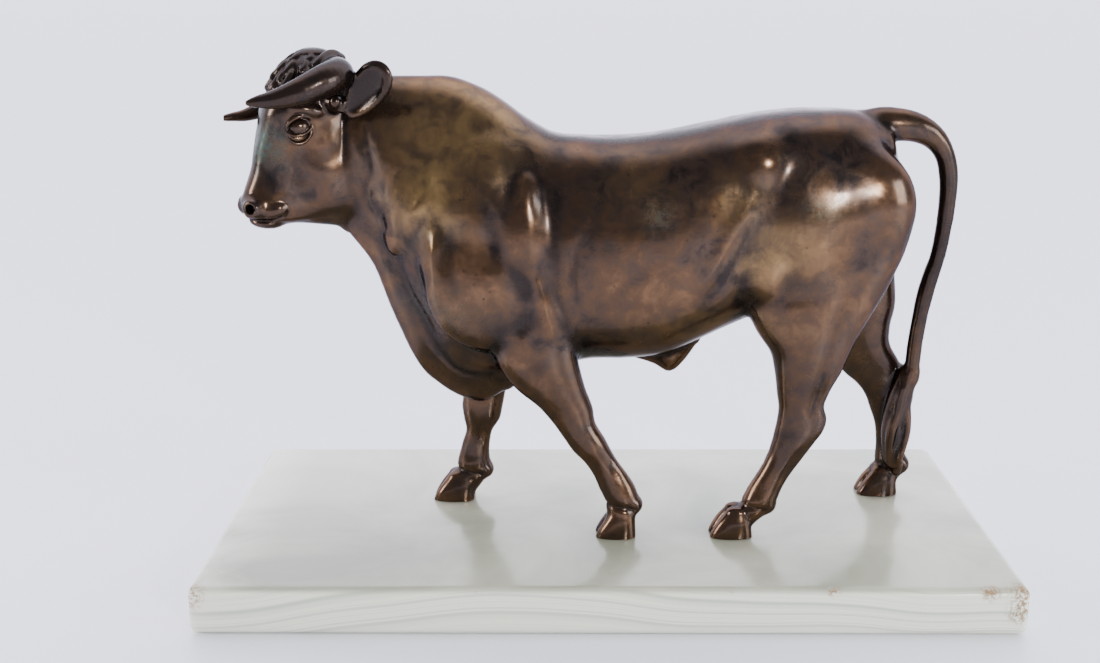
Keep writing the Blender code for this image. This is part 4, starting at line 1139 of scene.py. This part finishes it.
def patinated_bronze():
    """Brown patina, lighter toward copper and gold on the forms that stand out, partly from rubbing and
    partly as painted highlight, and darker in grooves and hollows, partly as darker patina and partly as
    painted shade.
    """
    material = bpy.data.materials.new("patinated_bronze")
    m = Nodes(material)
    cloud = m.noise(30, 6, 0.6, 0.8)
    mottle = m.noise(120, 8, 0.66, 0.5)
    streak = m.noise(46, 5, 0.6, 1.2, m.stretched((1.0, 1.0, 0.42)))
    fleck = m.noise(480, 4, 0.7)
    rubbed_and_highlit, gilded_and_highlit = m.layer("rubbed_and_highlit"), m.layer("gilded_and_highlit")
    grime_and_shade, green = m.layer("grime_and_shade"), m.layer("verdigris")

    # Rubbing, with painted highlights, lifts the tone towards copper
    wear_and_highlight = m.sum("ADD", m.band(mottle, 0.3, 0.72, -0.1, 0.5), m.sum("MULTIPLY", rubbed_and_highlit, 0.62))
    wear_and_highlight = m.sum("ADD", wear_and_highlight, m.band(cloud, 0.3, 0.75, -0.14, 0.2))
    tone = m.ramp(wear_and_highlight, (0.0, UMBER), (0.24, CHOCOLATE), (0.6, CHESTNUT), (1.0, COPPER))
    tone = m.blend(m.band(streak, 0.52, 0.74, 0.0, 0.34), tone, SLATE)
    # Gold patina, with painted highlights on the neck's fold and the stifle
    gold_and_highlight_share = m.sum("MULTIPLY", gilded_and_highlit, m.band(mottle, 0.34, 0.62, 0.35, 1.0))
    tone = m.blend(gold_and_highlight_share, tone, OLIVE_GOLD)
    # Darker patina, with painted shade in grooves and hollows, darkens the tone towards umber
    grime_and_shade_share = m.sum("MULTIPLY", grime_and_shade, m.band(cloud, 0.25, 0.6, 0.65, 1.0))
    tone = m.blend(grime_and_shade_share, tone, UMBER)
    spots = m.band(m.cells(260), 0.08, 0.16, 1.0, 0.0)
    spots = m.sum("MULTIPLY", spots, m.band(m.noise(60, 2), 0.54, 0.66, 0.0, 0.8))
    tone = m.blend(spots, tone, UMBER)
    green_share = m.sum("MULTIPLY", green, m.band(fleck, 0.36, 0.62, 0.2, 1.0))
    tone = m.blend(green_share, tone, VERDIGRIS)

    dull = m.band(m.noise(150, 5, 0.65, 0.4), 0.3, 0.75, 0.16, 0.28)
    dull = m.sum("ADD", dull, m.sum("MULTIPLY", grime_and_shade, 0.06))
    dull = m.sum("ADD", dull, m.sum("MULTIPLY", green_share, 0.3))
    metal = m.sum("SUBTRACT", 0.85, m.sum("MULTIPLY", green_share, 0.75))

    cast = m.noise(240, 5, 0.6)
    filed = m.noise(900, 3, 0.6, 0.0, m.stretched((0.16, 1.0, 1.0), (0.0, 0.5, 0.2)))
    pitted = m.band(m.cells(420), 0.02, 0.13)
    relief = m.relief((cast, 0.00004), (filed, 0.000008), (pitted, 0.000012))
    m.put(m.shader, {"Base Color": tone, "Roughness": dull, "Metallic": metal, **BRONZE_SHEEN, **relief})
    return material


# Tones of the onyx, on its sides and on its top. The top's tones are painted far darker than the sides', a
# painted shade against the stronger light that falls on the top.
ONYX_MILK = (0.84, 0.835, 0.70)
ONYX_GREEN = (0.54, 0.58, 0.46)
ONYX_CREAM = (0.82, 0.77, 0.68)
ONYX_DEEP = (0.40, 0.46, 0.38)
ONYX_SHADED_TOP = (0.355, 0.355, 0.262)
ONYX_SHADE = (0.235, 0.245, 0.175)
ONYX_CLOUD = (0.48, 0.465, 0.36)
STAIN = (0.30, 0.18, 0.08)
# Stained spots of the slab: place and reach in metres
STAINED = (
    (0.1525, -0.078, 0.0165, 0.010), (0.1500, -0.079, 0.0100, 0.007), (0.139, -0.079, 0.0185, 0.006),
    (-0.1535, -0.078, 0.0160, 0.008), (0.082, -0.079, 0.0185, 0.004), (0.0450, -0.079, 0.0182, 0.002),
    (-0.0480, -0.079, 0.0180, 0.0016), (-0.017, -0.079, 0.0185, 0.0016), (0.154, 0.01, 0.0185, 0.003),
)


# The sheen of the onyx and how light goes into it, where they are the same all over
ONYX_SHEEN = {
    "Subsurface Weight": 0.35, "Subsurface Radius": (1.0, 1.0, 0.85), "Subsurface Scale": 0.006,
    "IOR": 1.5, "Specular IOR Level": 0.38,
}


def onyx():
    """Polished pale green onyx: milky clouds above, painted darker than its sides as painted shade, and
    wavy layers along its sides.
    """
    material = bpy.data.materials.new("onyx")
    m = Nodes(material)
    x, y, z = m.axes()
    swell = m.noise(6.5, 2, 0.5, 0.3, m.stretched((1.0, 0.6, 0.4)))
    ripple = m.noise(30, 3, 0.5, 0.3, m.stretched((0.35, 0.35, 1.0)))
    bend = m.band(x, -0.150, -0.035, 0.016, 0.0)
    level = m.sum("ADD", m.sum("ADD", z, bend), m.sum("MULTIPLY", swell, 0.020))
    level = m.sum("ADD", level, m.sum("MULTIPLY", ripple, 0.0012))
    level = m.sum("MULTIPLY", level, m.band(x, -0.05, 0.17, 1.0, 1.7))
    layers = m.add("TexNoise", {"W": level, "Scale": 165, "Detail": 2.5}, noise_dimensions="1D")
    bands = layers.outputs["Fac"]
    tone = m.ramp(bands, (0.3, ONYX_GREEN), (0.47, ONYX_MILK), (0.62, ONYX_MILK), (0.76, ONYX_GREEN))
    thin = m.band(m.sum("ABSOLUTE", m.sum("SUBTRACT", bands, 0.56)), 0.0, 0.022, 0.42, 0.0)
    tone = m.blend(thin, tone, ONYX_DEEP)
    cloud = m.noise(13, 5, 0.55, 0.6)
    # The clouds of the top, in tones painted darker than the sides' as painted shade
    top = m.ramp(cloud, (0.32, ONYX_SHADE), (0.5, ONYX_SHADED_TOP), (0.68, ONYX_CLOUD))
    tone = m.blend(m.band(z, 0.0160, 0.0184), tone, top)
    left = m.band(x, -0.154, -0.125, 0.6, 0.0)
    tone = m.blend(m.sum("MULTIPLY", left, m.band(cloud, 0.3, 0.6)), tone, ONYX_CREAM)
    stained = m.near(STAINED)
    fleck = m.noise(620, 4, 0.7)
    tone = m.blend(m.sum("MULTIPLY", stained, m.band(fleck, 0.42, 0.58)), tone, STAIN)
    specks = m.band(m.cells(130), 0.02, 0.06, 1.0, 0.0)
    specks = m.sum("MULTIPLY", specks, m.band(m.noise(26, 2), 0.62, 0.7))
    tone = m.blend(m.sum("MULTIPLY", specks, 0.6), tone, STAIN)
    dull = m.sum("ADD", m.band(m.noise(90, 4), 0.3, 0.7, 0.15, 0.24), m.sum("MULTIPLY", stained, 0.4))
    relief = m.relief((m.noise(60, 3), 0.00003), (m.noise(700, 3), 0.000006))
    m.put(m.shader, {"Base Color": tone, "Roughness": dull, **ONYX_SHEEN, **relief})
    return material


# The floor's tone, dullness and half width in metres
FLOOR_TONE = (0.84, 0.84, 0.90)
FLOOR_DULL = 0.42
FLOOR_REACH = 14.0


def lay_floor():
    """A plain pale floor under the slab."""
    form = bmesh.new()
    bmesh.ops.create_circle(form, cap_ends=True, segments=64, radius=FLOOR_REACH)
    material = bpy.data.materials.new("pale_floor")
    m = Nodes(material)
    m.put(m.shader, {"Base Color": FLOOR_TONE, "Roughness": FLOOR_DULL})
    floor = placed("floor", mesh_from(form, "floor"))
    floor.data.materials.append(material)


# The slab's chips: place along X and Y as shares of half the slab, height as a share of its
# thickness, and the three half lengths in metres
CHIPS = (
    (0.992, -1.0, 1.0, 0.0040, 0.0030, 0.0024), (1.0, -1.0, 0.66, 0.0016, 0.0024, 0.0030),
    (0.958, -1.0, 1.0, 0.0046, 0.0012, 0.0011), (0.905, -1.0, 1.0, 0.0024, 0.0008, 0.0008),
    (-1.0, -1.0, 0.97, 0.0022, 0.0022, 0.0016), (-1.0, -0.94, 1.0, 0.0009, 0.0030, 0.0009),
    (0.53, -1.0, 1.0, 0.0034, 0.0008, 0.0008), (0.29, -1.0, 1.0, 0.0014, 0.0007, 0.0006),
    (-0.31, -1.0, 1.0, 0.0010, 0.0007, 0.0006), (-0.11, -1.0, 1.0, 0.0012, 0.0006, 0.0006),
    (1.0, 0.2, 1.0, 0.0008, 0.0022, 0.0008), (1.0, 1.0, 0.95, 0.0020, 0.0018, 0.0014),
    (1.0, -1.0, 0.03, 0.0020, 0.0016, 0.0012),
)
# The width of the slab's soft arrises in metres, and the steps round them
ARRIS, ARRIS_STEPS = 0.0034, 6
# How rough a chip is, and how fine that roughness
CHIP_ROUGH, CHIP_GRAIN = 0.22, 1.7
# The turn between two faces from which their edge stays crisp, in degrees
CRISP_FROM = 28


def struck_off(size):
    """The rough shapes that are cut out of the slab at its chips."""
    form = bmesh.new()
    half = size / 2
    for share_x, share_y, share_z, *reach in CHIPS:
        middle = np.array((share_x * half[0], share_y * half[1], share_z * size[2]))
        for vertex in bmesh.ops.create_icosphere(form, subdivisions=3, radius=1.0)["verts"]:
            rough = 1 + CHIP_ROUGH * noise.noise(vertex.co * CHIP_GRAIN + Vector(middle) * 90)
            vertex.co = Vector(middle + np.array(vertex.co) * np.array(reach) * rough)
    return placed("struck", mesh_from(form, "struck"))


def cut_slab():
    """The onyx slab with soft worn arrises and the chips struck off its corners and edges."""
    size = SLAB_HIGH - SLAB_LOW
    form = bmesh.new()
    bmesh.ops.create_cube(form, size=1)
    bmesh.ops.scale(form, vec=size, verts=form.verts)
    bmesh.ops.translate(form, vec=(SLAB_HIGH + SLAB_LOW) / 2, verts=form.verts)
    slab = placed("onyx_slab", mesh_from(form, "onyx_slab"))
    eased = slab.modifiers.new("Arrises", "BEVEL")
    eased.width = ARRIS
    eased.segments = ARRIS_STEPS
    cutter = struck_off(np.array(size))
    chipped = slab.modifiers.new("Chips", "BOOLEAN")
    chipped.operation = "DIFFERENCE"
    chipped.solver = "EXACT"
    chipped.use_self = True
    chipped.object = cutter
    cut = bpy.data.meshes.new_from_object(slab.evaluated_get(bpy.context.evaluated_depsgraph_get()))
    slab.modifiers.clear()
    bpy.data.objects.remove(cutter)
    slab.data = cut
    cut.name = "onyx_slab"
    cut.shade_smooth()
    cut.set_sharp_from_angle(angle=math.radians(CRISP_FROM))
    cut.materials.clear()
    cut.materials.append(onyx())
    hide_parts("plinth")
    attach(slab, "root")


# What the soft boxes are aimed at, then each box's place and size in metres, its power in watts
# and its tint
AIM = (0, 0, 0.11)
SOFT_BOXES = {
    "front_box": ((0.62, -1.22, 0.50), (0.16, 0.16), 12, (1, 1, 1)),
    "left_box": ((-1.4, -0.30, 0.50), (0.40, 0.5), 15, (1, 1, 1)),
    "right_box": ((1.35, -0.60, 0.42), (0.6, 0.6), 16, (0.82, 0.90, 1.0)),
}
# The surround's tint, its strength in front and behind, how far back it grows pale, and how much
# of that comes from height
SURROUND_TINT = (0.86, 0.865, 1.0)
DIM, PALE = 0.42, 5.0
PALE_FROM, PALE_TO = 0.0, 0.75
HEIGHT_SHARE = 0.3


def light_studio():
    """Soft boxes before and beside the bull, in a surround that is pale behind and dim in front."""
    for name, (place, size, power, tint) in SOFT_BOXES.items():
        light = bpy.data.lights.new(name, "AREA")
        light.shape = "RECTANGLE"
        light.size, light.size_y = size
        light.energy = power
        light.color = tint
        holder = placed(name, light)
        holder.location = place
        holder.rotation_euler = (Vector(AIM) - Vector(place)).to_track_quat("-Z", "Y").to_euler()
    world = bpy.data.worlds.new("surround")
    bpy.context.scene.world = world
    m = Nodes(world, "Background", "Generated")
    x, y, z = m.axes()
    depth = m.sum("ADD", m.sum("MULTIPLY", z, HEIGHT_SHARE), y)
    m.put(m.shader, {"Color": SURROUND_TINT, "Strength": m.band(depth, PALE_FROM, PALE_TO, DIM, PALE)})


# The camera's pitch, yaw and roll in degrees, its place in metres, and its lens and film in
# millimetres
CAMERA_TURN = (14.39, -0.75, -0.24)
CAMERA_PLACE = (-0.0142, -0.5607, 0.2388)
LENS, FILM = 47.0, 36.0


def set_camera():
    """The photograph's camera, solved from the slab's corners."""
    pitch, yaw, roll = (math.radians(angle) for angle in CAMERA_TURN)
    ahead = Vector((math.sin(yaw) * math.cos(pitch), math.cos(yaw) * math.cos(pitch), -math.sin(pitch)))
    level = Vector((math.cos(yaw), -math.sin(yaw), 0))
    above = level.cross(ahead)
    right = level * math.cos(roll) + above * math.sin(roll)
    up = above * math.cos(roll) - level * math.sin(roll)
    place = Matrix((right, up, -ahead)).transposed().to_4x4()
    place.translation = CAMERA_PLACE
    lens = bpy.data.cameras.new("camera")
    lens.lens = LENS
    lens.sensor_width = FILM
    lens.clip_start = 0.01
    camera = placed("camera", lens)
    camera.matrix_world = place
    bpy.context.scene.camera = camera


set_camera()
light_studio()
lay_floor()
cut_slab()
cast_bull()
